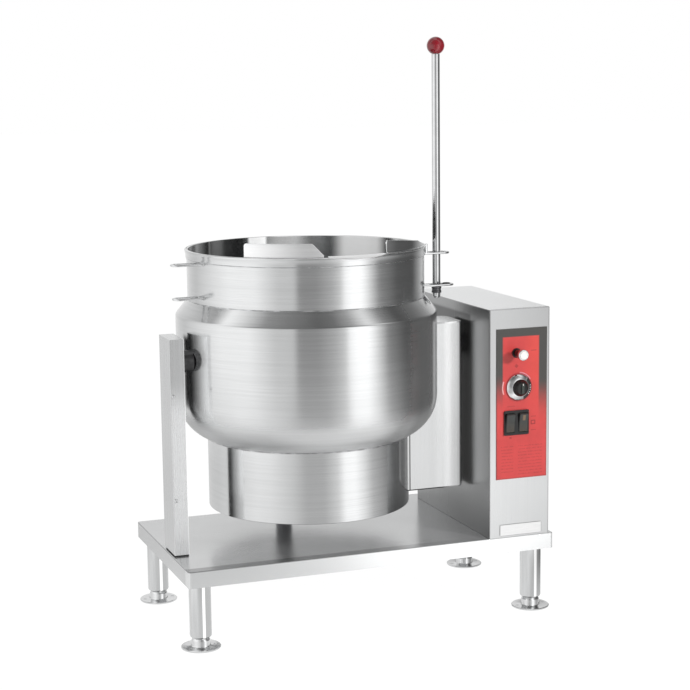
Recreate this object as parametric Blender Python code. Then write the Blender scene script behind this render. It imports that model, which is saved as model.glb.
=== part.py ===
"""Tilting steam jacketed kettle on a table stand, electric, about 45 litres.

Z is up, X runs from the post to the control console, and Y runs from the
pouring side to the back. The origin is on the floor, in the middle of the
whole machine's footprint. All sizes are in metres.
"""
import math

import bmesh
import bpy
from mathutils import Matrix, Vector

# Fits that serve the whole machine
SEAT_GAP = 0.0003
CUT_OVERRUN = 0.004
MERGE_DISTANCE = 0.00001
KETTLE_SIDES = 48
ROUND_SIDES = 18
SMALL_SIDES = 12
DIAL_SIDES = 24
ROD_SIDES = 16

# Table
TABLE_DEPTH = 0.4013
TABLE_TOP = 0.1571
TABLE_SHEET = 0.002
TABLE_EDGE = 0.0313
TABLE_RETURN = 0.008
TABLE_CORNER = 0.005
TABLE_BEND = 0.0015

# Legs and screw feet
LEG_DIAMETER = 0.0413
LEG_WALL = 0.0016
LEG_INSET_SIDE = 0.0308
LEG_INSET_FRONT = 0.0386
LEG_BOTTOM = 0.021
LEG_PLUG = 0.016
LEG_TAPER = 0.0025
LEG_COLLAR_RADIUS = 0.0265
LEG_COLLAR_THICK = 0.003
FOOT_FLANGE_RADIUS = 0.0375
FOOT_FLANGE_THICK = 0.0035
FOOT_HUB_RADIUS = 0.0178
FOOT_NECK_RADIUS = 0.0150
FOOT_HUB_TOP = 0.0195
FOOT_STEM_RADIUS = 0.0080
FOOT_STEM_TOP = 0.078
FOOT_HOLE_RADIUS = 0.0032
FOOT_HOLE_CIRCLE = 0.0285

# Kettle place and tilt axis
KETTLE_Y = -0.0020
TRUNNION_Y = -0.0520
TRUNNION_BELOW_CONE = 0.0758

# Kettle bowl and rim
BOWL_RADIUS = 0.2315
BOWL_WALL = 0.0029
RIM_ABOVE_JACKET = 0.0970
BOWL_STRAIGHT = 0.2490
BOWL_DISH_DEPTH = 0.0980
BOWL_DISH_STEPS = 6
RIM_BAND_TALL = 0.0200
RIM_BAND_THICK = 0.0016
RIM_FLARE_THICK = 0.0034
RIM_FLARE_TALL = 0.0110

# Steam jacket
JACKET_SPACE = 0.0242
JACKET_WALL = 0.0030
JACKET_CONE_TALL = 0.0292
JACKET_STRAIGHT = 0.1628
JACKET_KNUCKLE_RADIUS = 0.0843
JACKET_KNUCKLE_STEPS = 6
JACKET_DISH_DROP = 0.0087
JACKET_PORT_RADIUS = 0.0450
JACKET_DISH_SHARE = 0.62
JACKET_CONE_WALL_SHARE = 1.6

# Skirt below the jacket and the electric element
SKIRT_SETBACK = 0.0574
SKIRT_SHEET = 0.0015
SKIRT_CLEARANCE = 0.0638
SKIRT_BELOW_KNUCKLE = 0.2171
SKIRT_COVER_RECESS = 0.0020
SKIRT_COVER_RIM = 0.0120
ELEMENT_FLANGE_RADIUS = 0.0650
ELEMENT_FLANGE_THICK = 0.0090
ELEMENT_TUBE_RADIUS = 0.0050
ELEMENT_LOOP_RADIUS = 0.0950
ELEMENT_RISE = 0.0164
ELEMENT_LEG_SPREAD = 0.0180
ELEMENT_LEG_BELOW = 0.0180
ELEMENT_BEND = 0.0120
ELEMENT_STEPS = 14
ELEMENT_SIDES = 6
ELEMENT_GAP_SHARE = 1.5

# Trunnion housing between the jacket and the console
HOUSING_GAP = 0.00695
HOUSING_ABOVE_TRUNNION = 0.0495
HOUSING_ABOVE_SKIRT = 0.0208
HOUSING_HALF_DEPTH = 0.0450
HOUSING_SHEET = 0.0020
HOUSING_CORNER = 0.0160
HOUSING_EDGE_BEND = 0.0030

# Trunnions, bushes and bearings
TRUNNION_RADIUS = 0.01905
TRUNNION_BORE = 0.0125
TRUNNION_FLANGE_THICK = 0.0050
TRUNNION_PAD_RADIUS = 0.0210
TRUNNION_PAD_FACE = 0.0040
TRUNNION_TIP = 0.0280
RUNNING_GAP = 0.0004
BUSH_WALL = 0.0030
BUSH_LENGTH = 0.0150
BEARING_RADIUS = 0.0270
BEARING_FLANGE_RADIUS = 0.0330
BEARING_FLANGE_THICK = 0.0050

# Left post
POST_INSET = 0.0035
POST_CLEARANCE = 0.01655
POST_WIDTH = 0.0277
POST_DEPTH = 0.0777
POST_ABOVE_TRUNNION = 0.0483
POST_SHEET = 0.0015
POST_FLOOR_GAP = 0.0030
POST_BEND = 0.0012
UPRIGHT_THICK = 0.0030

# Console
CONSOLE_INSET = 0.0102
CONSOLE_CLEARANCE = 0.04665
CONSOLE_WIDTH = 0.1281
CONSOLE_DEPTH = 0.3650
CONSOLE_ABOVE_TRUNNION = 0.0835
CONSOLE_SHEET = 0.0015
CONSOLE_BEND = 0.0020
REAR_COVER_RIM = 0.0120
RIGHT_UPRIGHT_FACE = 0.0050
RIGHT_UPRIGHT_THICK = 0.0060
RIGHT_UPRIGHT_ABOVE_TRUNNION = 0.0450
RIGHT_UPRIGHT_FOOT = 0.0550

# Control panel on the console's front
OVERLAY_THICK = 0.0010
OVERLAY_FROM_LEFT = 0.01405
OVERLAY_FROM_RIGHT = 0.00625
OVERLAY_BELOW_TOP = 0.0390
OVERLAY_TALL = 0.2956
PLATE_FROM_LEFT = 0.02225
PLATE_FROM_RIGHT = 0.01635
PLATE_BOTTOM = 0.1605
PLATE_TOP = 0.1830
PLATE_THICK = 0.0008
PLATE_CORNER = 0.0020
LAMP_FROM_LEFT = 0.05625
LAMP_BELOW_OVERLAY_TOP = 0.0475
LAMP_STEM_RADIUS = 0.0075
LAMP_STEM_LENGTH = 0.0170
LAMP_HEAD_RADIUS = 0.0105
LAMP_HEAD_LENGTH = 0.0090
LAMP_LENS_RADIUS = 0.0080
LAMP_LENS_DOME = 0.0030
LAMP_TAIL = 0.0200
KNOB_FROM_LEFT = 0.06125
KNOB_BELOW_OVERLAY_TOP = 0.1151
KNOB_SKIRT_RADIUS = 0.0265
KNOB_SKIRT_EDGE = 0.0020
KNOB_SKIRT_TALL = 0.0090
KNOB_GRIP_RADIUS = 0.0150
KNOB_GRIP_LENGTH = 0.0130
KNOB_BAR_WIDTH = 0.0090
KNOB_BAR_TALL = 0.0040
SHAFT_RADIUS = 0.0032
SHAFT_INSIDE = 0.0180
SWITCH_FROM_LEFT = 0.02975
SWITCH_WIDTH = 0.0525
SWITCH_BELOW_OVERLAY_TOP = 0.1600
SWITCH_TALL = 0.0485
SWITCH_BEZEL = 0.0025
SWITCH_BODY_INSET = 0.0030
SWITCH_BODY_DEPTH = 0.0260
SWITCH_CORNER = 0.0020
ROCKER_WIDTH = 0.0190
ROCKER_REACH = 0.0188
ROCKER_PROUD = 0.0030
ROCKER_ROOT = 0.0070
ROCKER_HOLLOW = 0.0012
ROCKER_REST_ANGLE = math.radians(8)

# Electrical parts inside the console
COMPONENT_PLATE_SETBACK = 0.10435
COMPONENT_PLATE_THICK = 0.0020
COMPONENT_PLATE_TOP = 0.4200
COMPONENT_PLATE_MARGIN = 0.0120
COMPONENT_PLATE_FOOT = 0.0300
THERMOSTAT_WIDTH = 0.0420
THERMOSTAT_TALL = 0.0480
THERMOSTAT_DEPTH = 0.0320
THERMOSTAT_BOSS_RADIUS = 0.0090
THERMOSTAT_BOSS_LENGTH = 0.0040
CONTACTOR_WIDTH = 0.0620
CONTACTOR_TALL = 0.0760
CONTACTOR_DEPTH = 0.0420
CONTACTOR_STEP_TALL = 0.0440
CONTACTOR_STEP_DEPTH = 0.0160
CONTACTOR_ABOVE_TERMINALS = 0.0900
TERMINAL_WIDTH = 0.0800
TERMINAL_TALL = 0.0240
TERMINAL_BASE = 0.0080
TERMINAL_BARRIER = 0.0120
TERMINAL_BARRIER_THICK = 0.0024
TERMINAL_WAYS = 5
TERMINAL_HEIGHT = 0.2300
GLAND_FROM_LEFT = 0.06395
GLAND_HEIGHT = 0.2150
GLAND_THREAD_RADIUS = 0.0125
GLAND_BODY_RADIUS = 0.0180
GLAND_NUT_RADIUS = 0.0165
GLAND_BORE = 0.0080
GLAND_BODY_LENGTH = 0.0090
GLAND_NUT_LENGTH = 0.0120
GLAND_THREAD_LENGTH = 0.0100

# Rest for the upright kettle
REST_OFF_CENTRE = -0.0144
REST_Y = 0.1200
REST_RADIUS = 0.0165
REST_FLANGE_RADIUS = 0.0285
REST_FLANGE_THICK = 0.0030
BUMPER_RADIUS = 0.0185
BUMPER_TALL = 0.0160
BUMPER_SOCKET = 0.0080
BUMPER_SPIGOT_RADIUS = 0.0060

# Pouring lip and guards, with angles from the pouring side
LIP_START = math.radians(-8.5)
LIP_END = math.radians(20.5)
LIP_THICK = 0.0024
LIP_EDGE_REACH = 0.0080
LIP_TIP_REACH = 0.0240
LIP_DROOP = 0.0040
LIP_STEPS = 8
GUARD_TALL = 0.0260
GUARD_LEFT_START = math.radians(-48)
GUARD_LEFT_FULL = math.radians(-15.5)
GUARD_LEFT_END = math.radians(-10.5)
GUARD_RIGHT_START = math.radians(21.5)
GUARD_RIGHT_FULL = math.radians(49)
GUARD_RIGHT_END = math.radians(59)
GUARD_STEPS = 6
GUARD_SLOPE_SHARES = (0.35, 0.7, 1.0)
GUARD_END_SHARE = 0.04
GUARD_RIGHT_FALL_SHARE = 0.45
GUARD_CORNER = 0.0050
GUARD_LEDGE_TALL = 0.0045
GUARD_LEDGE_OUT = 0.0035

# Handle loops on the wall and the tilt handle
LOOP_SLOT_GAP = 0.0004
LOOP_BAR_WIDTH = 0.0058
LOOP_THICK = 0.0042
UPPER_LEFT_LOOP_REACH = 0.0580
LOWER_LEFT_LOOP_REACH = 0.0560
UPPER_RIGHT_LOOP_REACH = 0.0560
LOWER_RIGHT_LOOP_REACH = 0.0652
UPPER_LOOP_BELOW_RIM = 0.0196
LOWER_LOOP_ABOVE_JACKET = 0.0134
LOOP_ARC_STEPS = 6
LOOP_TAB_TALL = 0.0200
LOOP_TAB_THICK = 0.0040
ROD_FROM_WALL = 0.0241
ROD_RADIUS = 0.0080
ROD_BELOW_LOOP = 0.0264
ROD_LENGTH = 0.4770
ROD_TIP_ROUND = 0.0060
ROD_SPIGOT_RADIUS = 0.0050
ROD_SPIGOT_LENGTH = 0.0150
BALL_RADIUS = 0.0173
BALL_FLAT_RADIUS = 0.0080
BALL_STEPS = 9
COLLAR_RADIUS = 0.0098
COLLAR_LENGTH = 0.0130
COLLAR_GROOVE = 0.0008
PIN_RADIUS = 0.0020
PIN_LENGTH = 0.0240

# Steam fittings on the back of the jacket
FITTING_BELOW_CONE = 0.0408
FITTING_SPREAD = 0.0550
FITTING_REACH = 0.0340
FITTING_TUBE_RADIUS = 0.0085
FITTING_BEND = 0.0160
FITTING_RISE = 0.0260
VALVE_BODY_RADIUS = 0.0150
VALVE_HEX_TALL = 0.0110
VALVE_BODY_TALL = 0.0320
VALVE_BONNET_RADIUS = 0.0115
VALVE_BONNET_TALL = 0.0240
VALVE_STEM_RADIUS = 0.0035
VALVE_OUTLET_RADIUS = 0.0080
VALVE_OUTLET_LENGTH = 0.0300
LEVER_WIDTH = 0.0120
LEVER_LENGTH = 0.0420
LEVER_THICK = 0.0020
LEVER_PIVOT_RISE = 0.0050
LEVER_CHEEK_HALF = 0.0034
GAUGE_RADIUS = 0.0270
GAUGE_BACK = 0.0073
GAUGE_FACE = 0.0147
GAUGE_LIP = 0.0025
GAUGE_DIAL_RECESS = 0.0050
GAUGE_GLASS_THICK = 0.0015

# Places worked out from the sizes above
TABLE_UNDERSIDE = TABLE_TOP - TABLE_SHEET
SKIRT_BOTTOM = TABLE_TOP + SKIRT_CLEARANCE
JACKET_KNUCKLE_HEIGHT = SKIRT_BOTTOM + SKIRT_BELOW_KNUCKLE
JACKET_CONE_FOOT = JACKET_KNUCKLE_HEIGHT + JACKET_STRAIGHT
JACKET_CONE_TOP = JACKET_CONE_FOOT + JACKET_CONE_TALL
RIM_HEIGHT = JACKET_CONE_TOP + RIM_ABOVE_JACKET
BOWL_STRAIGHT_END = RIM_HEIGHT - BOWL_STRAIGHT
TRUNNION_HEIGHT = JACKET_CONE_FOOT - TRUNNION_BELOW_CONE
HOUSING_TOP = TRUNNION_HEIGHT + HOUSING_ABOVE_TRUNNION
HOUSING_BOTTOM = SKIRT_BOTTOM + HOUSING_ABOVE_SKIRT
POST_TOP = TRUNNION_HEIGHT + POST_ABOVE_TRUNNION
CONSOLE_TOP = TRUNNION_HEIGHT + CONSOLE_ABOVE_TRUNNION
RIGHT_UPRIGHT_TOP = TRUNNION_HEIGHT + RIGHT_UPRIGHT_ABOVE_TRUNNION
OVERLAY_TOP = CONSOLE_TOP - OVERLAY_BELOW_TOP
OVERLAY_BOTTOM = OVERLAY_TOP - OVERLAY_TALL
LAMP_HEIGHT = OVERLAY_TOP - LAMP_BELOW_OVERLAY_TOP
KNOB_HEIGHT = OVERLAY_TOP - KNOB_BELOW_OVERLAY_TOP
SWITCH_TOP = OVERLAY_TOP - SWITCH_BELOW_OVERLAY_TOP
SWITCH_BOTTOM = SWITCH_TOP - SWITCH_TALL
UPPER_LOOP_HEIGHT = RIM_HEIGHT - UPPER_LOOP_BELOW_RIM
LOWER_LOOP_HEIGHT = JACKET_CONE_TOP + LOWER_LOOP_ABOVE_JACKET
LOOP_HEIGHTS = {"upper": UPPER_LOOP_HEIGHT, "lower": LOWER_LOOP_HEIGHT}
LOOP_REACHES = {"upper_left": UPPER_LEFT_LOOP_REACH, "lower_left": LOWER_LEFT_LOOP_REACH,
                "upper_right": UPPER_RIGHT_LOOP_REACH, "lower_right": LOWER_RIGHT_LOOP_REACH}
ROD_BOTTOM = LOWER_LOOP_HEIGHT - ROD_BELOW_LOOP
ROD_TOP = ROD_BOTTOM + ROD_LENGTH
JACKET_RADIUS = BOWL_RADIUS + JACKET_SPACE
SKIRT_RADIUS = JACKET_RADIUS - SKIRT_SETBACK
POST_STRIP = POST_INSET + POST_WIDTH + POST_CLEARANCE
CONSOLE_STRIP = CONSOLE_CLEARANCE + CONSOLE_WIDTH + CONSOLE_INSET
TABLE_WIDTH = POST_STRIP + JACKET_RADIUS * 2 + CONSOLE_STRIP
KETTLE_X = POST_STRIP + JACKET_RADIUS - TABLE_WIDTH / 2
ROD_X = KETTLE_X + BOWL_RADIUS + ROD_FROM_WALL
REST_X = KETTLE_X + REST_OFF_CENTRE
FITTING_HEIGHT = JACKET_CONE_FOOT - FITTING_BELOW_CONE
POST_LEFT = POST_INSET - TABLE_WIDTH / 2
POST_RIGHT = POST_LEFT + POST_WIDTH
POST_FRONT = TRUNNION_Y - POST_DEPTH / 2
POST_BACK = TRUNNION_Y + POST_DEPTH / 2
CONSOLE_RIGHT = TABLE_WIDTH / 2 - CONSOLE_INSET
CONSOLE_LEFT = CONSOLE_RIGHT - CONSOLE_WIDTH
HOUSING_RIGHT = CONSOLE_LEFT - HOUSING_GAP
OVERLAY_LEFT = CONSOLE_LEFT + OVERLAY_FROM_LEFT
OVERLAY_RIGHT = CONSOLE_RIGHT - OVERLAY_FROM_RIGHT
PLATE_LEFT = CONSOLE_LEFT + PLATE_FROM_LEFT
PLATE_RIGHT = CONSOLE_RIGHT - PLATE_FROM_RIGHT
LAMP_X = CONSOLE_LEFT + LAMP_FROM_LEFT
KNOB_X = CONSOLE_LEFT + KNOB_FROM_LEFT
SWITCH_LEFT = CONSOLE_LEFT + SWITCH_FROM_LEFT
SWITCH_RIGHT = SWITCH_LEFT + SWITCH_WIDTH
GLAND_X = CONSOLE_LEFT + GLAND_FROM_LEFT
CONSOLE_FRONT = -TABLE_DEPTH / 2
CONSOLE_BACK = CONSOLE_FRONT + CONSOLE_DEPTH
CONSOLE_FLOOR = TABLE_TOP + SEAT_GAP
COMPONENT_PLATE_Y = CONSOLE_BACK - COMPONENT_PLATE_SETBACK
CONTACTOR_HEIGHT = TERMINAL_HEIGHT + CONTACTOR_ABOVE_TERMINALS
OVERLAY_BACK = CONSOLE_FRONT - SEAT_GAP
OVERLAY_FACE = OVERLAY_BACK - OVERLAY_THICK
BOWL_INSIDE = BOWL_RADIUS - BOWL_WALL
JACKET_TOP_RADIUS = BOWL_RADIUS + SEAT_GAP
KNUCKLE_CENTRE = JACKET_RADIUS - JACKET_KNUCKLE_RADIUS
JACKET_DISH_EDGE = JACKET_KNUCKLE_HEIGHT - JACKET_KNUCKLE_RADIUS
SKIRT_COVER_FACE = SKIRT_BOTTOM + SKIRT_COVER_RECESS
REST_TOP = SKIRT_COVER_FACE - SEAT_GAP
SLOT_HALF_WIDTH = ROD_RADIUS + LOOP_SLOT_GAP
TRUNNION_FLANGE_RADIUS = HOUSING_HALF_DEPTH - HOUSING_CORNER - HOUSING_SHEET / 2
VALVE_BACK = FITTING_REACH + max(VALVE_BODY_RADIUS, GAUGE_FACE)
FRONT_END = KETTLE_Y - JACKET_RADIUS
BACK_END = KETTLE_Y + JACKET_RADIUS + VALVE_BACK
DEPTH_SHIFT = -(FRONT_END + BACK_END) / 2
KETTLE_FROM_TILT = Vector((KETTLE_X, KETTLE_Y - TRUNNION_Y, -TRUNNION_HEIGHT))

# Looks: base colour, roughness and metallic share
STEEL = ((0.62, 0.63, 0.63), 0.32, 1.0)
POLISHED = ((0.72, 0.72, 0.72), 0.15, 1.0)
DARK_STEEL = ((0.20, 0.20, 0.21), 0.5, 1.0)
BRONZE = ((0.45, 0.28, 0.12), 0.35, 1.0)
BRASS = ((0.60, 0.45, 0.18), 0.3, 1.0)
BLACK_PLASTIC = ((0.02, 0.02, 0.02), 0.35, 0.0)
GREY_PLASTIC = ((0.30, 0.31, 0.32), 0.5, 0.0)
BLACK_RUBBER = ((0.03, 0.03, 0.03), 0.8, 0.0)
RED_PANEL = ((0.75, 0.06, 0.05), 0.45, 0.0)
RED_BALL = ((0.30, 0.01, 0.02), 0.12, 0.0)
WHITE_LENS = ((0.85, 0.83, 0.80), 0.15, 0.0)
CLEAR_GLASS = ((0.80, 0.83, 0.84), 0.05, 0.0)


def clear_scene():
    for old in list(bpy.data.objects):
        bpy.data.objects.remove(old, do_unlink=True)


def make_empty(name, parent, place):
    empty = bpy.data.objects.new(name, None)
    empty.parent = parent
    empty.location = place
    bpy.context.scene.collection.objects.link(empty)
    return empty


def finish_mesh(bm, name):
    bmesh.ops.remove_doubles(bm, verts=bm.verts, dist=MERGE_DISTANCE)
    bmesh.ops.recalc_face_normals(bm, faces=bm.faces)
    mesh = bpy.data.meshes.new(name)
    bm.to_mesh(mesh)
    bm.free()
    return mesh


def make_material(name, look):
    colour, roughness, metallic = look
    material = bpy.data.materials.new(name + "_finish")
    material.use_nodes = True
    shader = material.node_tree.nodes["Principled BSDF"]
    shader.inputs["Base Color"].default_value = (*colour, 1)
    shader.inputs["Roughness"].default_value = roughness
    shader.inputs["Metallic"].default_value = metallic
    return material


def add_piece(name, bm, look, parent, place=(0, 0, 0), sharp_from=35):
    """Links one sub-part, with its own material, shaded smooth below an angle."""
    mesh = finish_mesh(bm, name)
    mesh.shade_smooth()
    mesh.set_sharp_from_angle(angle=math.radians(sharp_from))
    mesh.materials.append(make_material(name, look))
    piece = bpy.data.objects.new(name, mesh)
    piece.parent = parent
    piece.location = place
    bpy.context.scene.collection.objects.link(piece)
    return piece


def apply_tool(piece, bm, operation="DIFFERENCE"):
    """Cuts or joins a helper solid, which shares the piece's parent and place."""
    label = piece.name + "_" + operation.lower() + "_tool"
    tool = bpy.data.objects.new(label, finish_mesh(bm, label))
    tool.parent = piece.parent
    tool.location = piece.location
    tool.hide_render = True
    tool.display_type = "WIRE"
    bpy.context.scene.collection.objects.link(tool)
    boolean = piece.modifiers.new(label, "BOOLEAN")
    boolean.operation = operation
    boolean.solver = "EXACT"
    boolean.object = tool


def turned(outline, sides, turn=0.0):
    """Spins an outline of (radius, height) points about Z into a closed body."""
    bm = bmesh.new()
    verts = [bm.verts.new((radius, 0, height)) for radius, height in outline]
    pairs = list(zip(verts, verts[1:]))
    if outline[0][0] > 0:
        pairs.append((verts[-1], verts[0]))
    edges = [bm.edges.new(pair) for pair in pairs]
    bmesh.ops.spin(bm, geom=verts + edges, cent=(0, 0, 0), axis=(0, 0, 1),
                   angle=math.tau, steps=sides)
    bmesh.ops.remove_doubles(bm, verts=bm.verts, dist=MERGE_DISTANCE)
    bmesh.ops.dissolve_degenerate(bm, edges=bm.edges, dist=MERGE_DISTANCE)
    if turn:
        turn_mesh(bm, turn, "Z")
    return bm


def turned_blind(outline):
    """Spins an outline that starts off the axis and reaches it, so that its bore is blind."""
    bm = bmesh.new()
    verts = [bm.verts.new((radius, 0, height)) for radius, height in outline]
    edges = [bm.edges.new(pair) for pair in zip(verts, verts[1:] + verts[:1])
             if pair[0].co.x > 0 or pair[1].co.x > 0]
    bmesh.ops.spin(bm, geom=verts + edges, cent=(0, 0, 0), axis=(0, 0, 1), angle=math.tau, steps=ROUND_SIDES)
    bmesh.ops.remove_doubles(bm, verts=bm.verts, dist=MERGE_DISTANCE)
    bmesh.ops.dissolve_degenerate(bm, edges=bm.edges, dist=MERGE_DISTANCE)
    return bm


def polar(radius, angle, height):
    """A point by its angle from the pouring side, positive towards the console."""
    return Vector((radius * math.sin(angle), -radius * math.cos(angle), height))


def turn_mesh(bm, angle, axis):
    bmesh.ops.rotate(bm, verts=bm.verts, cent=(0, 0, 0), matrix=Matrix.Rotation(angle, 3, axis))
    return bm


def move_mesh(bm, offset):
    bmesh.ops.translate(bm, verts=bm.verts, vec=offset)
    return bm


def along_x(bm):
    """Lays a body turned about Z along +X."""
    return turn_mesh(bm, math.pi / 2, "Y")


def along_front(bm):
    """Lays a body turned about Z along -Y, towards the pouring side."""
    return turn_mesh(bm, math.pi / 2, "X")


def along_back(bm):
    """Lays a body turned about Z along +Y."""
    return turn_mesh(bm, -math.pi / 2, "X")


def cylinder(radius, low, high, sides):
    return turned([(0, low), (radius, low), (radius, high), (0, high)], sides)


def block(low, high):
    bm = bmesh.new()
    bmesh.ops.create_cube(bm, size=1)
    low = Vector(low)
    high = Vector(high)
    bmesh.ops.scale(bm, verts=bm.verts, vec=high - low)
    return move_mesh(bm, (low + high) / 2)


def edges_along(bm, axis, keep=None):
    """Edges that run along one axis, and whose middle passes a test."""
    found = []
    for edge in bm.edges:
        run = edge.verts[1].co - edge.verts[0].co
        middle = (edge.verts[1].co + edge.verts[0].co) / 2
        if abs(run[axis]) > 0.999 * run.length and (keep is None or keep(middle)):
            found.append(edge)
    return found


def round_edges(bm, edges, width, segments):
    bmesh.ops.bevel(bm, geom=edges, offset=width, offset_type="OFFSET", segments=segments,
                    profile=0.5, affect="EDGES", clamp_overlap=True)
    return bm


def extruded(points, along):
    bm = bmesh.new()
    face = bm.faces.new([bm.verts.new(point) for point in points])
    pulled = bmesh.ops.extrude_face_region(bm, geom=[face])["geom"]
    verts = [item for item in pulled if isinstance(item, bmesh.types.BMVert)]
    bmesh.ops.translate(bm, verts=verts, vec=along)
    bmesh.ops.recalc_face_normals(bm, faces=bm.faces)
    return bm


def lofted(sections):
    """Joins closed sections with equal point counts, and caps both ends."""
    bm = bmesh.new()
    rings = [[bm.verts.new(point) for point in section] for section in sections]
    count = len(rings[0])
    for ring, following in zip(rings, rings[1:]):
        for index in range(count):
            after = (index + 1) % count
            bm.faces.new((ring[index], ring[after], following[after], following[index]))
    bm.faces.new(rings[0])
    bm.faces.new(rings[-1])
    bmesh.ops.recalc_face_normals(bm, faces=bm.faces)
    return bm


def swept(path, radius, sides):
    """Carries a round section along a path with a turning frame."""
    sections = []
    normal = None
    for index, point in enumerate(path):
        ahead = path[min(index + 1, len(path) - 1)]
        behind = path[max(index - 1, 0)]
        run = (ahead - behind).normalized()
        if normal is None:
            normal = run.orthogonal().normalized()
        else:
            normal = (normal - run * normal.dot(run)).normalized()
        side = run.cross(normal)
        angles = [math.tau * step / sides for step in range(sides)]
        sections.append([point + radius * (normal * math.cos(a) + side * math.sin(a)) for a in angles])
    return lofted(sections)


def arc_points(centre, radius, start, end, steps):
    """Points (first, second) on an arc in a plane, both ends included."""
    points = []
    for step in range(steps + 1):
        angle = start + (end - start) * step / steps
        points.append((centre[0] + radius * math.cos(angle), centre[1] + radius * math.sin(angle)))
    return points


# Table, legs and feet

def build_table(stand):
    half_width = TABLE_WIDTH / 2
    half_depth = TABLE_DEPTH / 2
    bottom = TABLE_TOP - TABLE_EDGE
    body = block((-half_width, -half_depth, bottom), (half_width, half_depth, TABLE_TOP))
    round_edges(body, edges_along(body, 2), TABLE_CORNER, 3)
    top_edges = [edge for edge in body.edges
                 if all(vert.co.z > TABLE_UNDERSIDE for vert in edge.verts)]
    round_edges(body, top_edges, TABLE_BEND, 2)
    table = add_piece("stand_table", body, STEEL, stand)
    tray = block((TABLE_SHEET - half_width, TABLE_SHEET - half_depth, bottom + TABLE_SHEET),
                 (half_width - TABLE_SHEET, half_depth - TABLE_SHEET, TABLE_UNDERSIDE))
    round_edges(tray, edges_along(tray, 2), TABLE_CORNER - TABLE_SHEET, 2)
    apply_tool(table, tray)
    mouth = block((TABLE_RETURN - half_width, TABLE_RETURN - half_depth, bottom - CUT_OVERRUN),
                  (half_width - TABLE_RETURN, half_depth - TABLE_RETURN, bottom + CUT_OVERRUN))
    apply_tool(table, mouth)


def leg_places():
    across = TABLE_WIDTH / 2 - LEG_INSET_SIDE
    deep = TABLE_DEPTH / 2 - LEG_INSET_FRONT
    return {"front_left": (-across, -deep, 0), "front_right": (across, -deep, 0),
            "rear_left": (-across, deep, 0), "rear_right": (across, deep, 0)}


def build_legs(stand):
    radius = LEG_DIAMETER / 2
    inside = radius - LEG_WALL
    top = TABLE_UNDERSIDE - SEAT_GAP
    guide = FOOT_STEM_RADIUS + SEAT_GAP
    collar_foot = top - LEG_COLLAR_THICK
    outline = [(guide, LEG_BOTTOM), (radius - LEG_TAPER, LEG_BOTTOM), (radius, LEG_BOTTOM + LEG_TAPER),
               (radius, collar_foot), (LEG_COLLAR_RADIUS, collar_foot), (LEG_COLLAR_RADIUS, top),
               (inside, top), (inside, LEG_BOTTOM + LEG_PLUG), (guide, LEG_BOTTOM + LEG_PLUG)]
    for corner, place in leg_places().items():
        add_piece("leg_" + corner, turned(outline, ROUND_SIDES), STEEL, stand, place)


def build_feet(stand):
    """Screw feet: a round flange with bolt holes, a hub and a stem up the leg."""
    rise = FOOT_FLANGE_THICK
    outline = [(0, 0), (FOOT_FLANGE_RADIUS, 0), (FOOT_FLANGE_RADIUS, rise), (FOOT_HUB_RADIUS, rise),
               (FOOT_HUB_RADIUS, FOOT_HUB_TOP - rise), (FOOT_NECK_RADIUS, FOOT_HUB_TOP),
               (FOOT_STEM_RADIUS, FOOT_HUB_TOP), (FOOT_STEM_RADIUS, FOOT_STEM_TOP), (0, FOOT_STEM_TOP)]
    for corner, place in leg_places().items():
        foot = add_piece("foot_" + corner, turned(outline, ROUND_SIDES), POLISHED, stand, place)
        for side in (1, -1):
            hole = cylinder(FOOT_HOLE_RADIUS, -CUT_OVERRUN, rise + CUT_OVERRUN, SMALL_SIDES)
            apply_tool(foot, move_mesh(hole, (side * FOOT_HOLE_CIRCLE, 0, 0)))


# Left post with its bearing

def build_post(stand):
    cover_floor = TABLE_TOP + POST_FLOOR_GAP
    shell = block((POST_LEFT, POST_FRONT, cover_floor), (POST_RIGHT, POST_BACK, POST_TOP))
    round_edges(shell, edges_along(shell, 2, lambda middle: middle.x < POST_LEFT + POST_SHEET),
                POST_BEND, 2)
    cover = add_piece("post_cover", shell, STEEL, stand)
    hollow = block((POST_LEFT + POST_SHEET, POST_FRONT + POST_SHEET, cover_floor - CUT_OVERRUN),
                   (POST_RIGHT + CUT_OVERRUN, POST_BACK - POST_SHEET, POST_TOP - POST_SHEET))
    apply_tool(cover, hollow)

    play = POST_SHEET + SEAT_GAP
    front = POST_FRONT + play
    back = POST_BACK - play
    foot = TABLE_TOP + SEAT_GAP
    top = POST_TOP - play
    web = POST_RIGHT - UPRIGHT_THICK
    flange_end = POST_LEFT + play
    channel = [(POST_RIGHT, front, foot), (POST_RIGHT, back, foot), (flange_end, back, foot),
               (flange_end, back - UPRIGHT_THICK, foot), (web, back - UPRIGHT_THICK, foot),
               (web, front + UPRIGHT_THICK, foot), (flange_end, front + UPRIGHT_THICK, foot),
               (flange_end, front, foot)]
    upright = add_piece("post_upright", extruded(channel, (0, 0, top - foot)), STEEL, stand)
    bore = cylinder(TRUNNION_RADIUS + RUNNING_GAP, -POST_WIDTH, POST_WIDTH, ROUND_SIDES)
    apply_tool(upright, move_mesh(along_x(bore), (POST_RIGHT, TRUNNION_Y, TRUNNION_HEIGHT)))

    return web


def bearing_outline():
    """Flanged bearing block, flange face at zero, body towards +Z."""
    bore = TRUNNION_RADIUS + RUNNING_GAP + BUSH_WALL + SEAT_GAP
    return [(bore, 0), (BEARING_FLANGE_RADIUS, 0), (BEARING_FLANGE_RADIUS, BEARING_FLANGE_THICK),
            (BEARING_RADIUS, BEARING_FLANGE_THICK), (BEARING_RADIUS, BUSH_LENGTH), (bore, BUSH_LENGTH)]


def bush_outline():
    inside = TRUNNION_RADIUS + RUNNING_GAP
    return [(inside, 0), (inside + BUSH_WALL, 0), (inside + BUSH_WALL, BUSH_LENGTH), (inside, BUSH_LENGTH)]


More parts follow.
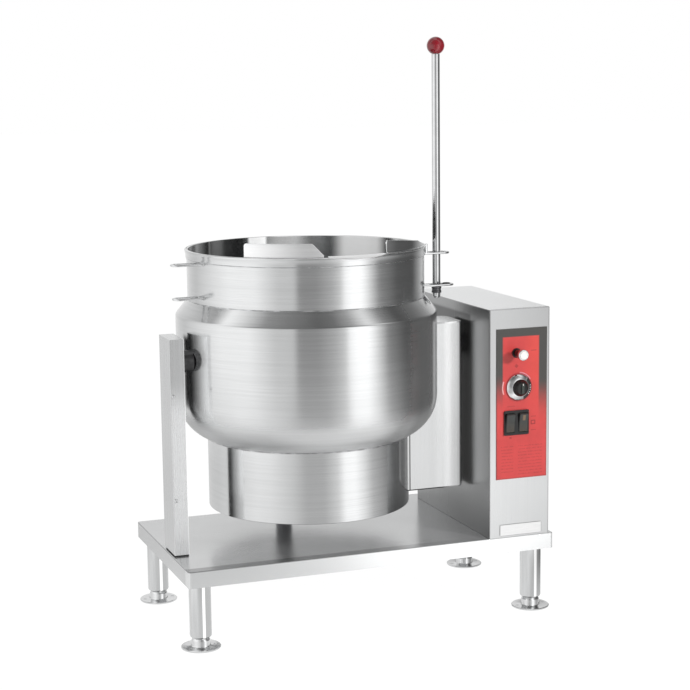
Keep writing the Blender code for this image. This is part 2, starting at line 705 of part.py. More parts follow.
def build_bearings(stand, left_face, right_face):
    """A flanged block and a bronze bush on each upright, opening away from the kettle."""
    for side, face, away in (("left", left_face - SEAT_GAP, -1), ("right", right_face + SEAT_GAP, 1)):
        place = (face, TRUNNION_Y, TRUNNION_HEIGHT)
        blocks = turn_mesh(turned(bearing_outline(), ROUND_SIDES), away * math.pi / 2, "Y")
        add_piece(side + "_bearing", blocks, DARK_STEEL, stand, place)
        bush = turn_mesh(turned(bush_outline(), ROUND_SIDES), away * math.pi / 2, "Y")
        add_piece(side + "_bushing", bush, BRONZE, stand, place)


# Console with its upright

def build_console(stand):
    body = block((CONSOLE_LEFT, CONSOLE_FRONT, CONSOLE_FLOOR), (CONSOLE_RIGHT, CONSOLE_BACK, CONSOLE_TOP))
    bends = edges_along(body, 2, lambda middle: middle.y < TRUNNION_Y)
    bends += edges_along(body, 1, lambda middle: middle.z > TRUNNION_HEIGHT)
    bends += edges_along(body, 0, lambda middle: middle.z > TRUNNION_HEIGHT and middle.y < TRUNNION_Y)
    round_edges(body, bends, CONSOLE_BEND, 2)
    shell = add_piece("console_shell", body, STEEL, stand)
    sheet = CONSOLE_SHEET
    hollow = block((CONSOLE_LEFT + sheet, CONSOLE_FRONT + sheet, CONSOLE_FLOOR - CUT_OVERRUN),
                   (CONSOLE_RIGHT - sheet, CONSOLE_BACK + CUT_OVERRUN, CONSOLE_TOP - sheet))
    apply_tool(shell, hollow)
    bore = cylinder(TRUNNION_RADIUS + RUNNING_GAP * 2, -CUT_OVERRUN, CUT_OVERRUN, ROUND_SIDES)
    apply_tool(shell, move_mesh(along_x(bore), (CONSOLE_LEFT, TRUNNION_Y, TRUNNION_HEIGHT)))
    apply_tool(shell, panel_drill(SHAFT_RADIUS * 2, KNOB_X, KNOB_HEIGHT, CONSOLE_SHEET))
    apply_tool(shell, panel_drill(LAMP_STEM_RADIUS + SEAT_GAP, LAMP_X, LAMP_HEIGHT, CONSOLE_SHEET))
    apply_tool(shell, switch_window(SEAT_GAP))


def panel_drill(radius, across, height, depth):
    """A drill along Y through the console's front and the overlay on it."""
    drill = cylinder(radius, -depth - CUT_OVERRUN, OVERLAY_THICK + CUT_OVERRUN, ROD_SIDES)
    return move_mesh(along_front(drill), (across, CONSOLE_FRONT, height))


def switch_window(extra):
    inset = SWITCH_BODY_INSET - extra
    return block((SWITCH_LEFT + inset, CONSOLE_FRONT - CUT_OVERRUN, SWITCH_BOTTOM + inset),
                 (SWITCH_RIGHT - inset, CONSOLE_FRONT + CUT_OVERRUN, SWITCH_TOP - inset))


def build_rear_cover(stand):
    """A pan that closes the console's back, with a hole for the inlet gland."""
    play = CONSOLE_SHEET + SEAT_GAP
    low = Vector((CONSOLE_LEFT + play, CONSOLE_BACK - REAR_COVER_RIM, CONSOLE_FLOOR + SEAT_GAP))
    high = Vector((CONSOLE_RIGHT - play, CONSOLE_BACK, CONSOLE_TOP - play))
    cover = add_piece("console_rear_cover", block(low, high), STEEL, stand)
    sheet = CONSOLE_SHEET
    pan = block((low.x + sheet, low.y - CUT_OVERRUN, low.z + sheet),
                (high.x - sheet, high.y - sheet, high.z - sheet))
    apply_tool(cover, pan)
    hole = cylinder(GLAND_THREAD_RADIUS + SEAT_GAP, -CUT_OVERRUN, CUT_OVERRUN, ROUND_SIDES)
    apply_tool(cover, move_mesh(along_back(hole), (GLAND_X, CONSOLE_BACK, GLAND_HEIGHT)))


def build_gland(stand):
    """Inlet gland for the supply, with its bore right through."""
    body = GLAND_BODY_LENGTH
    nut = body + GLAND_NUT_LENGTH
    chamfer = GLAND_NUT_LENGTH / 4
    outline = [(GLAND_BORE, -GLAND_THREAD_LENGTH), (GLAND_THREAD_RADIUS, -GLAND_THREAD_LENGTH),
               (GLAND_THREAD_RADIUS, 0), (GLAND_BODY_RADIUS, 0), (GLAND_BODY_RADIUS, body),
               (GLAND_NUT_RADIUS, body), (GLAND_NUT_RADIUS, nut - chamfer),
               (GLAND_NUT_RADIUS - chamfer, nut), (GLAND_BORE, nut)]
    place = (GLAND_X, CONSOLE_BACK + SEAT_GAP, GLAND_HEIGHT)
    add_piece("cable_gland", along_back(turned(outline, SMALL_SIDES)), BLACK_PLASTIC, stand, place)


def build_right_upright(stand):
    """An angle inside the console that carries the right bearing."""
    face = CONSOLE_LEFT + CONSOLE_SHEET + RIGHT_UPRIGHT_FACE
    outer = face + RIGHT_UPRIGHT_THICK
    foot = CONSOLE_FLOOR + RIGHT_UPRIGHT_THICK
    front = TRUNNION_Y - POST_DEPTH / 2
    angle = [(face, front, CONSOLE_FLOOR), (face + RIGHT_UPRIGHT_FOOT, front, CONSOLE_FLOOR),
             (face + RIGHT_UPRIGHT_FOOT, front, foot), (outer, front, foot),
             (outer, front, RIGHT_UPRIGHT_TOP), (face, front, RIGHT_UPRIGHT_TOP)]
    upright = add_piece("console_upright", extruded(angle, (0, POST_DEPTH, 0)), DARK_STEEL, stand)
    bore = cylinder(TRUNNION_RADIUS + RUNNING_GAP, -POST_WIDTH, POST_WIDTH, ROUND_SIDES)
    apply_tool(upright, move_mesh(along_x(bore), (face, TRUNNION_Y, TRUNNION_HEIGHT)))
    return outer


# Control panel

def build_overlay(stand):
    body = block((OVERLAY_LEFT, OVERLAY_FACE, OVERLAY_BOTTOM), (OVERLAY_RIGHT, OVERLAY_BACK, OVERLAY_TOP))
    overlay = add_piece("control_overlay", body, RED_PANEL, stand)
    apply_tool(overlay, panel_drill(SHAFT_RADIUS * 2, KNOB_X, KNOB_HEIGHT, CONSOLE_SHEET))
    apply_tool(overlay, panel_drill(LAMP_STEM_RADIUS + SEAT_GAP, LAMP_X, LAMP_HEIGHT, CONSOLE_SHEET))
    apply_tool(overlay, switch_window(SEAT_GAP))


def build_name_plate(stand):
    """The bare plate near the console's foot."""
    plate = block((PLATE_LEFT, OVERLAY_BACK - PLATE_THICK, PLATE_BOTTOM),
                  (PLATE_RIGHT, OVERLAY_BACK, PLATE_TOP))
    round_edges(plate, edges_along(plate, 1), PLATE_CORNER, 3)
    add_piece("name_plate", plate, POLISHED, stand)


def build_lamp(stand):
    """Pilot lamp: a long bezel through the panel and a domed lens in its head."""
    head = LAMP_STEM_LENGTH + LAMP_HEAD_LENGTH
    cup = LAMP_LENS_RADIUS + SEAT_GAP
    floor = head - LAMP_HEAD_LENGTH / 2
    outline = [(0, -LAMP_TAIL), (LAMP_STEM_RADIUS, -LAMP_TAIL), (LAMP_STEM_RADIUS, LAMP_STEM_LENGTH),
               (LAMP_HEAD_RADIUS, LAMP_STEM_LENGTH + LAMP_STEM_RADIUS / 4), (LAMP_HEAD_RADIUS, head),
               (cup, head), (cup, floor), (0, floor)]
    place = (LAMP_X, OVERLAY_FACE, LAMP_HEIGHT)
    add_piece("lamp_bezel", along_front(turned(outline, ROUND_SIDES)), POLISHED, stand, place)
    dome = LAMP_LENS_DOME / 2
    lens = [(0, floor + SEAT_GAP), (LAMP_LENS_RADIUS, floor + SEAT_GAP), (LAMP_LENS_RADIUS, head),
            (LAMP_LENS_RADIUS - dome, head + dome),
            (LAMP_LENS_RADIUS / 2, head + LAMP_LENS_DOME - dome / 4), (0, head + LAMP_LENS_DOME)]
    add_piece("lamp_lens", along_front(turned(lens, ROUND_SIDES)), WHITE_LENS, stand, place)


def build_knob(stand):
    """Temperature dial: chromed skirt, black grip and the shaft behind them."""
    axis = make_empty("knob_axis", stand, (KNOB_X, OVERLAY_FACE, KNOB_HEIGHT))
    base = SEAT_GAP
    top = KNOB_SKIRT_TALL
    bore = SHAFT_RADIUS + SEAT_GAP
    crown = KNOB_GRIP_RADIUS + KNOB_SKIRT_EDGE
    skirt = [(bore, base), (KNOB_SKIRT_RADIUS, base), (KNOB_SKIRT_RADIUS, base + KNOB_SKIRT_EDGE),
             (KNOB_SKIRT_RADIUS - KNOB_SKIRT_EDGE, top / 2), (crown, top - KNOB_SKIRT_EDGE / 2),
             (KNOB_GRIP_RADIUS, top), (bore, top)]
    add_piece("knob_skirt", along_front(turned(skirt, DIAL_SIDES)), POLISHED, axis)
    low = top + SEAT_GAP
    high = low + KNOB_GRIP_LENGTH
    soft = KNOB_SKIRT_EDGE
    blind = high - soft
    grip = [(bore, low), (KNOB_GRIP_RADIUS, low), (KNOB_GRIP_RADIUS, high - soft),
            (KNOB_GRIP_RADIUS - soft, high), (0, high), (0, blind - soft), (bore, blind - soft)]
    body = add_piece("knob_grip", along_front(turned_blind(grip)), BLACK_PLASTIC, axis)
    reach = KNOB_GRIP_RADIUS - soft
    bar = block((-KNOB_BAR_WIDTH / 2, -high - KNOB_BAR_TALL, -reach), (KNOB_BAR_WIDTH / 2, -blind, reach))
    round_edges(bar, edges_along(bar, 1), soft, 2)
    apply_tool(body, bar, "UNION")
    inner_end = -CONSOLE_SHEET - OVERLAY_THICK - SHAFT_INSIDE
    shaft = cylinder(SHAFT_RADIUS, inner_end, blind - soft - SEAT_GAP, SMALL_SIDES)
    add_piece("thermostat_shaft", along_front(shaft), DARK_STEEL, axis)


def rocker_centres():
    middle = (SWITCH_LEFT + SWITCH_RIGHT) / 2
    step = (SWITCH_RIGHT - SWITCH_LEFT + SWITCH_BODY_INSET) / 4
    height = (SWITCH_BOTTOM + SWITCH_TOP) / 2
    depth = OVERLAY_FACE - SEAT_GAP - SWITCH_BEZEL + ROCKER_ROOT - ROCKER_PROUD
    return {"left": Vector((middle - step, depth, height)), "right": Vector((middle + step, depth, height))}


def build_switches(stand):
    """A double frame with two rockers that lean to their upper, off side at rest."""
    back = OVERLAY_FACE - SEAT_GAP
    bezel = block((SWITCH_LEFT, back - SWITCH_BEZEL, SWITCH_BOTTOM), (SWITCH_RIGHT, back, SWITCH_TOP))
    round_edges(bezel, edges_along(bezel, 1), SWITCH_CORNER, 2)
    frame = add_piece("switch_frame", bezel, BLACK_PLASTIC, stand)
    inset = SWITCH_BODY_INSET
    body = block((SWITCH_LEFT + inset, back - SWITCH_BEZEL / 2, SWITCH_BOTTOM + inset),
                 (SWITCH_RIGHT - inset, back + SWITCH_BODY_DEPTH, SWITCH_TOP - inset))
    apply_tool(frame, body, "UNION")
    half = ROCKER_WIDTH / 2
    for side, centre in rocker_centres().items():
        well = half + SEAT_GAP
        reach = ROCKER_REACH + SEAT_GAP * 2
        floor = centre.y + ROCKER_ROOT * 2
        pocket = block((centre.x - well, back - SWITCH_BEZEL - CUT_OVERRUN, centre.z - reach),
                       (centre.x + well, floor, centre.z + reach))
        apply_tool(frame, pocket)
        rocker = extruded(rocker_outline(half), (ROCKER_WIDTH, 0, 0))
        add_piece("rocker_" + side, rocker, BLACK_PLASTIC, stand, centre)


def rocker_outline(half):
    """Side view about the pivot: round ends, a hollowed face, a root behind, leaned to rest."""
    end_angle = math.asin(ROCKER_ROOT / ROCKER_REACH)
    upper = arc_points((0, 0), ROCKER_REACH, math.pi / 2 - end_angle / 3, math.pi / 2 + end_angle, 3)
    lower = arc_points((0, 0), ROCKER_REACH, -math.pi / 2 - end_angle, -math.pi / 2 + end_angle / 3, 3)
    face = (ROCKER_HOLLOW - ROCKER_ROOT, 0)
    flat = upper + [face] + lower + [(ROCKER_ROOT, -ROCKER_ROOT), (ROCKER_ROOT, ROCKER_ROOT)]
    turn = Matrix.Rotation(ROCKER_REST_ANGLE, 2)
    leaned = [turn @ Vector(point) for point in flat]
    return [(-half, out, up) for out, up in leaned]


# Electrical parts inside the console

def component_plate_span():
    left = CONSOLE_LEFT + CONSOLE_SHEET + COMPONENT_PLATE_MARGIN
    right = CONSOLE_RIGHT - CONSOLE_SHEET - COMPONENT_PLATE_MARGIN
    return left, right


def build_component_plate(stand):
    left, right = component_plate_span()
    face = COMPONENT_PLATE_Y
    back = face + COMPONENT_PLATE_THICK
    floor = CONSOLE_FLOOR
    angle = [(left, face, floor), (left, face, COMPONENT_PLATE_TOP), (left, back, COMPONENT_PLATE_TOP),
             (left, back, floor + COMPONENT_PLATE_THICK),
             (left, back + COMPONENT_PLATE_FOOT, floor + COMPONENT_PLATE_THICK),
             (left, back + COMPONENT_PLATE_FOOT, floor)]
    add_piece("component_plate", extruded(angle, (right - left, 0, 0)), STEEL, stand)


def build_components(stand):
    """Contactor and terminal strip, seated on their plate."""
    left, right = component_plate_span()
    middle = (left + right) / 2
    seat = COMPONENT_PLATE_Y - SEAT_GAP

    half = CONTACTOR_WIDTH / 2
    rise = CONTACTOR_TALL / 2
    body = block((middle - half, seat - CONTACTOR_DEPTH, CONTACTOR_HEIGHT - rise),
                 (middle + half, seat, CONTACTOR_HEIGHT + rise))
    contactor = add_piece("contactor", body, BLACK_PLASTIC, stand)
    rise = CONTACTOR_STEP_TALL / 2
    front = seat - CONTACTOR_DEPTH - CONTACTOR_STEP_DEPTH
    step = block((middle - half, front, CONTACTOR_HEIGHT - rise),
                 (middle + half, seat - CONTACTOR_DEPTH / 2, CONTACTOR_HEIGHT + rise))
    apply_tool(contactor, step, "UNION")

    half = TERMINAL_WIDTH / 2
    pitch = (TERMINAL_WIDTH - TERMINAL_BARRIER_THICK) / TERMINAL_WAYS
    comb = [(-half, 0)]
    for way in range(TERMINAL_WAYS + 1):
        start = way * pitch - half
        comb += [(start, TERMINAL_BARRIER), (start + TERMINAL_BARRIER_THICK, TERMINAL_BARRIER)]
        if way < TERMINAL_WAYS:
            comb += [(start + TERMINAL_BARRIER_THICK, TERMINAL_BASE), (start + pitch, TERMINAL_BASE)]
    comb.append((half, 0))
    low = TERMINAL_HEIGHT - TERMINAL_TALL / 2
    outline = [(middle + across, seat - out, low) for across, out in comb]
    add_piece("terminal_block", extruded(outline, (0, 0, TERMINAL_TALL)), GREY_PLASTIC, stand)


def build_thermostat(stand):
    """Control body behind the dial, bored for the shaft."""
    face = CONSOLE_FRONT + CONSOLE_SHEET + SEAT_GAP
    near = face + THERMOSTAT_BOSS_LENGTH
    low = (KNOB_X - THERMOSTAT_WIDTH / 2, near, KNOB_HEIGHT - THERMOSTAT_TALL / 2)
    high = (KNOB_X + THERMOSTAT_WIDTH / 2, near + THERMOSTAT_DEPTH, KNOB_HEIGHT + THERMOSTAT_TALL / 2)
    body = add_piece("thermostat_body", block(low, high), GREY_PLASTIC, stand)
    boss = cylinder(THERMOSTAT_BOSS_RADIUS, 0, THERMOSTAT_BOSS_LENGTH * 2, SMALL_SIDES)
    apply_tool(body, move_mesh(along_back(boss), (KNOB_X, face, KNOB_HEIGHT)), "UNION")
    bore = cylinder(SHAFT_RADIUS + SEAT_GAP, -CUT_OVERRUN, THERMOSTAT_DEPTH / 2 + CUT_OVERRUN, SMALL_SIDES)
    apply_tool(body, move_mesh(along_back(bore), (KNOB_X, face, KNOB_HEIGHT)))


# Rest under the kettle

def build_rest(stand):
    floor = TABLE_TOP + SEAT_GAP
    post_top = REST_TOP - BUMPER_TALL
    spigot_top = post_top + BUMPER_SOCKET - SEAT_GAP * 2
    post = [(0, floor), (REST_FLANGE_RADIUS, floor), (REST_FLANGE_RADIUS, floor + REST_FLANGE_THICK),
            (REST_RADIUS, floor + REST_FLANGE_THICK), (REST_RADIUS, post_top),
            (BUMPER_SPIGOT_RADIUS, post_top), (BUMPER_SPIGOT_RADIUS, spigot_top), (0, spigot_top)]
    add_piece("kettle_rest", turned(post, SMALL_SIDES), DARK_STEEL, stand, (REST_X, REST_Y, 0))
    socket = BUMPER_SPIGOT_RADIUS + SEAT_GAP
    low = post_top + SEAT_GAP
    soft = BUMPER_TALL / 5
    bumper = [(socket, low), (BUMPER_RADIUS, low), (BUMPER_RADIUS, REST_TOP - soft),
              (BUMPER_RADIUS - soft, REST_TOP), (0, REST_TOP), (0, post_top + BUMPER_SOCKET),
              (socket, post_top + BUMPER_SOCKET)]
    add_piece("rest_bumper", turned_blind(bumper), BLACK_RUBBER, stand, (REST_X, REST_Y, 0))


# Kettle shells, all turned about the kettle's own axis

def dish_points(radius, depth, steps):
    """A half ellipse from the straight wall to the middle of the bottom."""
    points = []
    for step in range(steps + 1):
        angle = math.pi / 2 * step / steps
        points.append((radius * math.cos(angle), BOWL_STRAIGHT_END - depth * math.sin(angle)))
    points[-1] = (0, points[-1][1])
    return points


def build_bowl(tilt):
    outside = [(BOWL_RADIUS, RIM_HEIGHT)] + dish_points(BOWL_RADIUS, BOWL_DISH_DEPTH, BOWL_DISH_STEPS)
    inside_depth = BOWL_DISH_DEPTH - BOWL_WALL
    inside = [(BOWL_INSIDE, RIM_HEIGHT)] + dish_points(BOWL_INSIDE, inside_depth, BOWL_DISH_STEPS)
    outline = list(reversed(outside)) + inside
    add_piece("kettle_bowl", turned(outline, KETTLE_SIDES), STEEL, tilt, KETTLE_FROM_TILT, 20)


def build_rim_band(tilt):
    inside = BOWL_RADIUS + SEAT_GAP
    foot = RIM_HEIGHT - RIM_BAND_TALL
    outline = [(inside, foot), (inside + RIM_BAND_THICK, foot),
               (inside + RIM_BAND_THICK, RIM_HEIGHT - RIM_FLARE_TALL),
               (inside + RIM_FLARE_THICK, RIM_HEIGHT), (inside, RIM_HEIGHT)]
    add_piece("rim_band", turned(outline, KETTLE_SIDES), STEEL, tilt, KETTLE_FROM_TILT, 20)


def jacket_outside():
    """From the cone's top down to the port in the bottom."""
    outline = [(JACKET_TOP_RADIUS, JACKET_CONE_TOP), (JACKET_RADIUS, JACKET_CONE_FOOT)]
    outline += arc_points((KNUCKLE_CENTRE, JACKET_KNUCKLE_HEIGHT), JACKET_KNUCKLE_RADIUS,
                          0, -math.pi / 2, JACKET_KNUCKLE_STEPS)
    for share in (JACKET_DISH_SHARE, JACKET_PORT_RADIUS / KNUCKLE_CENTRE):
        radius = KNUCKLE_CENTRE * share
        outline.append((radius, JACKET_DISH_EDGE - JACKET_DISH_DROP * (1 - share * share)))
    return outline


def build_jacket(tilt):
    outside = jacket_outside()
    wall = JACKET_WALL
    inside = [(JACKET_TOP_RADIUS, JACKET_CONE_TOP - wall * JACKET_CONE_WALL_SHARE),
              (JACKET_RADIUS - wall, JACKET_CONE_FOOT - wall)]
    inside += arc_points((KNUCKLE_CENTRE, JACKET_KNUCKLE_HEIGHT), JACKET_KNUCKLE_RADIUS - wall,
                         0, -math.pi / 2, JACKET_KNUCKLE_STEPS)
    inside += [(radius, height + wall) for radius, height in outside[-2:]]
    outline = outside + list(reversed(inside))
    add_piece("steam_jacket", turned(outline, KETTLE_SIDES), STEEL, tilt, KETTLE_FROM_TILT, 16)


def skirt_top(radius):
    """Height of the jacket's underside over the skirt, less the seat gap."""
    angle = math.acos((radius - KNUCKLE_CENTRE) / JACKET_KNUCKLE_RADIUS)
    return JACKET_KNUCKLE_HEIGHT - (JACKET_KNUCKLE_RADIUS + SEAT_GAP) * math.sin(angle)


def build_skirt(tilt):
    inside = SKIRT_RADIUS - SKIRT_SHEET
    outline = [(inside, SKIRT_BOTTOM), (SKIRT_RADIUS, SKIRT_BOTTOM),
               (SKIRT_RADIUS, skirt_top(SKIRT_RADIUS)), (inside, skirt_top(inside))]
    add_piece("element_skirt", turned(outline, KETTLE_SIDES), STEEL, tilt, KETTLE_FROM_TILT)
    rim = inside - SEAT_GAP
    floor = SKIRT_COVER_FACE
    cover = [(0, floor), (rim, floor), (rim, floor + SKIRT_COVER_RIM),
             (rim - SKIRT_SHEET, floor + SKIRT_COVER_RIM), (rim - SKIRT_SHEET, floor + SKIRT_SHEET),
             (0, floor + SKIRT_SHEET)]
    add_piece("skirt_bottom_cover", turned(cover, KETTLE_SIDES), STEEL, tilt, KETTLE_FROM_TILT)


def element_path():
    """A leg up from the flange, once round the loop, and the other leg down."""
    bottom = jacket_outside()[-1][1] - ELEMENT_FLANGE_THICK - ELEMENT_LEG_BELOW
    spread = ELEMENT_LEG_SPREAD
    bend = ELEMENT_BEND
    height = jacket_outside()[-1][1] + JACKET_WALL + ELEMENT_RISE
    leg = [Vector((spread, 0, bottom)), Vector((spread, 0, height - bend))]
    for across, up in arc_points((bend, height - bend), bend, math.pi, math.pi / 2, 3)[1:]:
        leg.append(Vector((spread, -across, up)))
    gap_angle = math.asin(spread / ELEMENT_LOOP_RADIUS)
    corner = math.cos(gap_angle) * ELEMENT_LOOP_RADIUS
    leg.append(Vector((spread, bend - corner + ELEMENT_TUBE_RADIUS, height)))
    loop = []
    start = gap_angle * ELEMENT_GAP_SHARE
    for step in range(1, ELEMENT_STEPS):
        angle = start + (math.tau - start * 2) * step / ELEMENT_STEPS
        loop.append(polar(ELEMENT_LOOP_RADIUS, angle, height))
    back = [Vector((-point.x, point.y, point.z)) for point in reversed(leg)]
    return leg + loop + back


def build_element(tilt):
    path = element_path()
    tube = swept(path, ELEMENT_TUBE_RADIUS, ELEMENT_SIDES)
    add_piece("heating_element", tube, DARK_STEEL, tilt, KETTLE_FROM_TILT)
    seat = jacket_outside()[-1][1] - SEAT_GAP
    port = JACKET_PORT_RADIUS - SEAT_GAP
    low = seat - ELEMENT_FLANGE_THICK
    plug = seat + JACKET_WALL
    drop = JACKET_DISH_DROP / 4
    outline = [(0, low), (ELEMENT_FLANGE_RADIUS, low), (ELEMENT_FLANGE_RADIUS, seat - drop),
               (ELEMENT_FLANGE_RADIUS - drop, seat), (port, seat), (port, plug), (0, plug)]
    flange = add_piece("element_flange", turned(outline, ROUND_SIDES), DARK_STEEL, tilt, KETTLE_FROM_TILT)
    for side in (1, -1):
        hole = cylinder(ELEMENT_TUBE_RADIUS + SEAT_GAP, low - CUT_OVERRUN, plug + CUT_OVERRUN, SMALL_SIDES)
        apply_tool(flange, move_mesh(hole, (side * ELEMENT_LEG_SPREAD, 0, 0)))


def kettle_envelope(extra):
    """The jacket and skirt as one plain solid, grown by a gap, to trim what hugs them."""
    outline = [(0, JACKET_CONE_TOP + JACKET_WALL), (JACKET_TOP_RADIUS + extra, JACKET_CONE_TOP + extra)]
    outline.append((JACKET_RADIUS + extra, JACKET_CONE_FOOT + extra / 2))
    knuckle = arc_points((KNUCKLE_CENTRE, JACKET_KNUCKLE_HEIGHT), JACKET_KNUCKLE_RADIUS + extra,
                         0, -math.pi / 2, JACKET_KNUCKLE_STEPS * 2)
    outline += [point for point in knuckle if point[0] > SKIRT_RADIUS + extra * 2]
    waist = JACKET_KNUCKLE_HEIGHT - (JACKET_KNUCKLE_RADIUS + extra) * math.sin(
        math.acos((SKIRT_RADIUS + extra - KNUCKLE_CENTRE) / (JACKET_KNUCKLE_RADIUS + extra)))
    outline += [(SKIRT_RADIUS + extra, waist), (SKIRT_RADIUS + extra, SKIRT_BOTTOM - CUT_OVERRUN),
                (0, SKIRT_BOTTOM - CUT_OVERRUN)]
    return turned(outline, KETTLE_SIDES)


# Trunnions and their housing

def build_housing(tilt):
    """Sheet cover that hugs the jacket and skirt, open towards them."""
    middle = TRUNNION_Y - KETTLE_Y
    right = HOUSING_RIGHT - KETTLE_X
    front = middle - HOUSING_HALF_DEPTH
    back = middle + HOUSING_HALF_DEPTH
    start = SKIRT_RADIUS / 2
    body = block((start, front, HOUSING_BOTTOM), (right, back, HOUSING_TOP))
    round_edges(body, edges_along(body, 2, lambda point: point.x > start), HOUSING_CORNER, 4)
    flat_edges = [edge for edge in body.edges if edge.verts[0].co.z == edge.verts[1].co.z
                  and min(vert.co.x for vert in edge.verts) > start - MERGE_DISTANCE
                  and max(vert.co.x for vert in edge.verts) > start + MERGE_DISTANCE]
    round_edges(body, flat_edges, HOUSING_EDGE_BEND, 2)
    housing = add_piece("trunnion_housing", body, STEEL, tilt, KETTLE_FROM_TILT)
    sheet = HOUSING_SHEET
    hollow = block((start - CUT_OVERRUN, front + sheet, HOUSING_BOTTOM + sheet),
                   (right - sheet, back - sheet, HOUSING_TOP - sheet))
    round_edges(hollow, edges_along(hollow, 2, lambda point: point.x > start), HOUSING_CORNER - sheet, 4)
    apply_tool(housing, hollow)
    apply_tool(housing, kettle_envelope(SEAT_GAP))
    bore = cylinder(TRUNNION_RADIUS + SEAT_GAP, -CUT_OVERRUN, CUT_OVERRUN, ROUND_SIDES)
    apply_tool(housing, move_mesh(along_x(bore), (right, middle, TRUNNION_HEIGHT)))


def build_right_trunnion(tilt):
    """Hollow stub, flanged inside the housing, that runs in the console's bearing."""
    flange_face = HOUSING_RIGHT - HOUSING_SHEET - SEAT_GAP
    flange_back = flange_face - TRUNNION_FLANGE_THICK
    tip = CONSOLE_LEFT + TRUNNION_TIP
    outline = [(TRUNNION_BORE, flange_back), (TRUNNION_FLANGE_RADIUS, flange_back),
               (TRUNNION_FLANGE_RADIUS, flange_face), (TRUNNION_RADIUS, flange_face),
               (TRUNNION_RADIUS, tip), (TRUNNION_BORE, tip)]
    add_piece("trunnion_right", along_x(turned(outline, ROUND_SIDES)), DARK_STEEL, tilt)


def build_left_trunnion(tilt):
    """Solid stub on a round pad that is trimmed to the jacket."""
    pad_face = POST_RIGHT + TRUNNION_PAD_FACE
    tip = POST_LEFT + POST_SHEET + SEAT_GAP * 4
    root = KETTLE_X - JACKET_RADIUS + HOUSING_HALF_DEPTH
    outline = [(0, -root), (TRUNNION_PAD_RADIUS, -root), (TRUNNION_PAD_RADIUS, -pad_face),
               (TRUNNION_RADIUS, -pad_face), (TRUNNION_RADIUS, -tip), (0, -tip)]
    stub = turn_mesh(turned(outline, ROUND_SIDES), -math.pi / 2, "Y")
    piece = add_piece("trunnion_left", stub, STEEL, tilt)
    apply_tool(piece, move_mesh(kettle_envelope(SEAT_GAP), KETTLE_FROM_TILT))


# Pouring lip and guards

def build_lip(tilt):
    """A drooping lip that is longest at its middle and sits on the rim."""
    sections = []
    seat = RIM_HEIGHT + SEAT_GAP
    edge = BOWL_RADIUS + SEAT_GAP + RIM_FLARE_THICK
    for step in range(LIP_STEPS + 1):
        share = step / LIP_STEPS
        angle = LIP_START + (LIP_END - LIP_START) * share
        swell = math.sin(math.pi * share)
        reach = LIP_EDGE_REACH + (LIP_TIP_REACH - LIP_EDGE_REACH) * swell
        tip = BOWL_RADIUS + reach
        droop = LIP_DROOP * reach / LIP_TIP_REACH
        knee = edge + SEAT_GAP
        top = seat + LIP_THICK
        sections.append([polar(BOWL_INSIDE, angle, seat), polar(knee, angle, seat),
                         polar(tip, angle, seat - droop), polar(tip, angle, top - droop),
                         polar(knee, angle, top), polar(BOWL_INSIDE, angle, top)])
    add_piece("pour_lip", lofted(sections), STEEL, tilt, KETTLE_FROM_TILT)


def guard_sections(angles, ledge):
    """Upright plate sections on the rim, from (angle, height share) pairs."""
    seat = RIM_HEIGHT + SEAT_GAP
    sections = []
    for angle, share in angles:
        foot = seat + GUARD_LEDGE_TALL
        top = foot + (GUARD_TALL - GUARD_LEDGE_TALL) * share
        outside = BOWL_RADIUS + (GUARD_LEDGE_OUT if ledge else 0)
        sections.append([polar(BOWL_INSIDE, angle, seat), polar(outside, angle, seat),
                         polar(outside, angle, foot), polar(BOWL_RADIUS, angle, foot + SEAT_GAP),
                         polar(BOWL_RADIUS, angle, top), polar(BOWL_INSIDE, angle, top)])
    return sections


def guard_angles(start, full, end, fall):
    """A rounded upright end, a stretch that falls by a share and a sloping end."""
    corner = GUARD_CORNER / BOWL_RADIUS
    rise = 1 - GUARD_CORNER / GUARD_TALL
    pairs = []
    for turn in (0, math.pi / 6, math.pi / 3, math.pi / 2):
        pairs.append((start + corner * (1 - math.cos(turn)), rise + (1 - rise) * math.sin(turn)))
    for step in range(1, GUARD_STEPS + 1):
        share = step / GUARD_STEPS
        pairs.append((start + corner + (full - start - corner) * share, 1 - fall * share))
    for share in GUARD_SLOPE_SHARES:
        pairs.append((full + (end - full) * share, max((1 - fall) * (1 - share), GUARD_END_SHARE)))
    return pairs


def build_guards(tilt):
    left = guard_sections(guard_angles(GUARD_LEFT_START, GUARD_LEFT_FULL, GUARD_LEFT_END, 0), False)
    add_piece("pour_guard_left", lofted(left), STEEL, tilt, KETTLE_FROM_TILT)
    right_angles = guard_angles(GUARD_RIGHT_START, GUARD_RIGHT_FULL, GUARD_RIGHT_END, GUARD_RIGHT_FALL_SHARE)
    right = guard_sections(right_angles, True)
    add_piece("pour_guard_right", lofted(right), STEEL, tilt, KETTLE_FROM_TILT)


# Handle loops and the tilt handle

def loop_outline(side, reach):
    """Plan of a flat U about the trunnion's line, from inside the wall to its round tip."""
    offset = TRUNNION_Y - KETTLE_Y
    wall = math.sqrt(BOWL_RADIUS ** 2 - offset ** 2)
    outer = SLOT_HALF_WIDTH + LOOP_BAR_WIDTH
    root = wall - outer
    centre = wall + reach - outer
    plan = [(root, -outer)] + arc_points((centre, 0), outer, -math.pi / 2, math.pi / 2, LOOP_ARC_STEPS)
    plan += [(root, outer), (root, SLOT_HALF_WIDTH)]
    plan += arc_points((centre, 0), SLOT_HALF_WIDTH, math.pi / 2, -math.pi / 2, LOOP_ARC_STEPS)
    plan += [(root, -SLOT_HALF_WIDTH)]
    return [(side * across, offset + deep) for across, deep in plan]


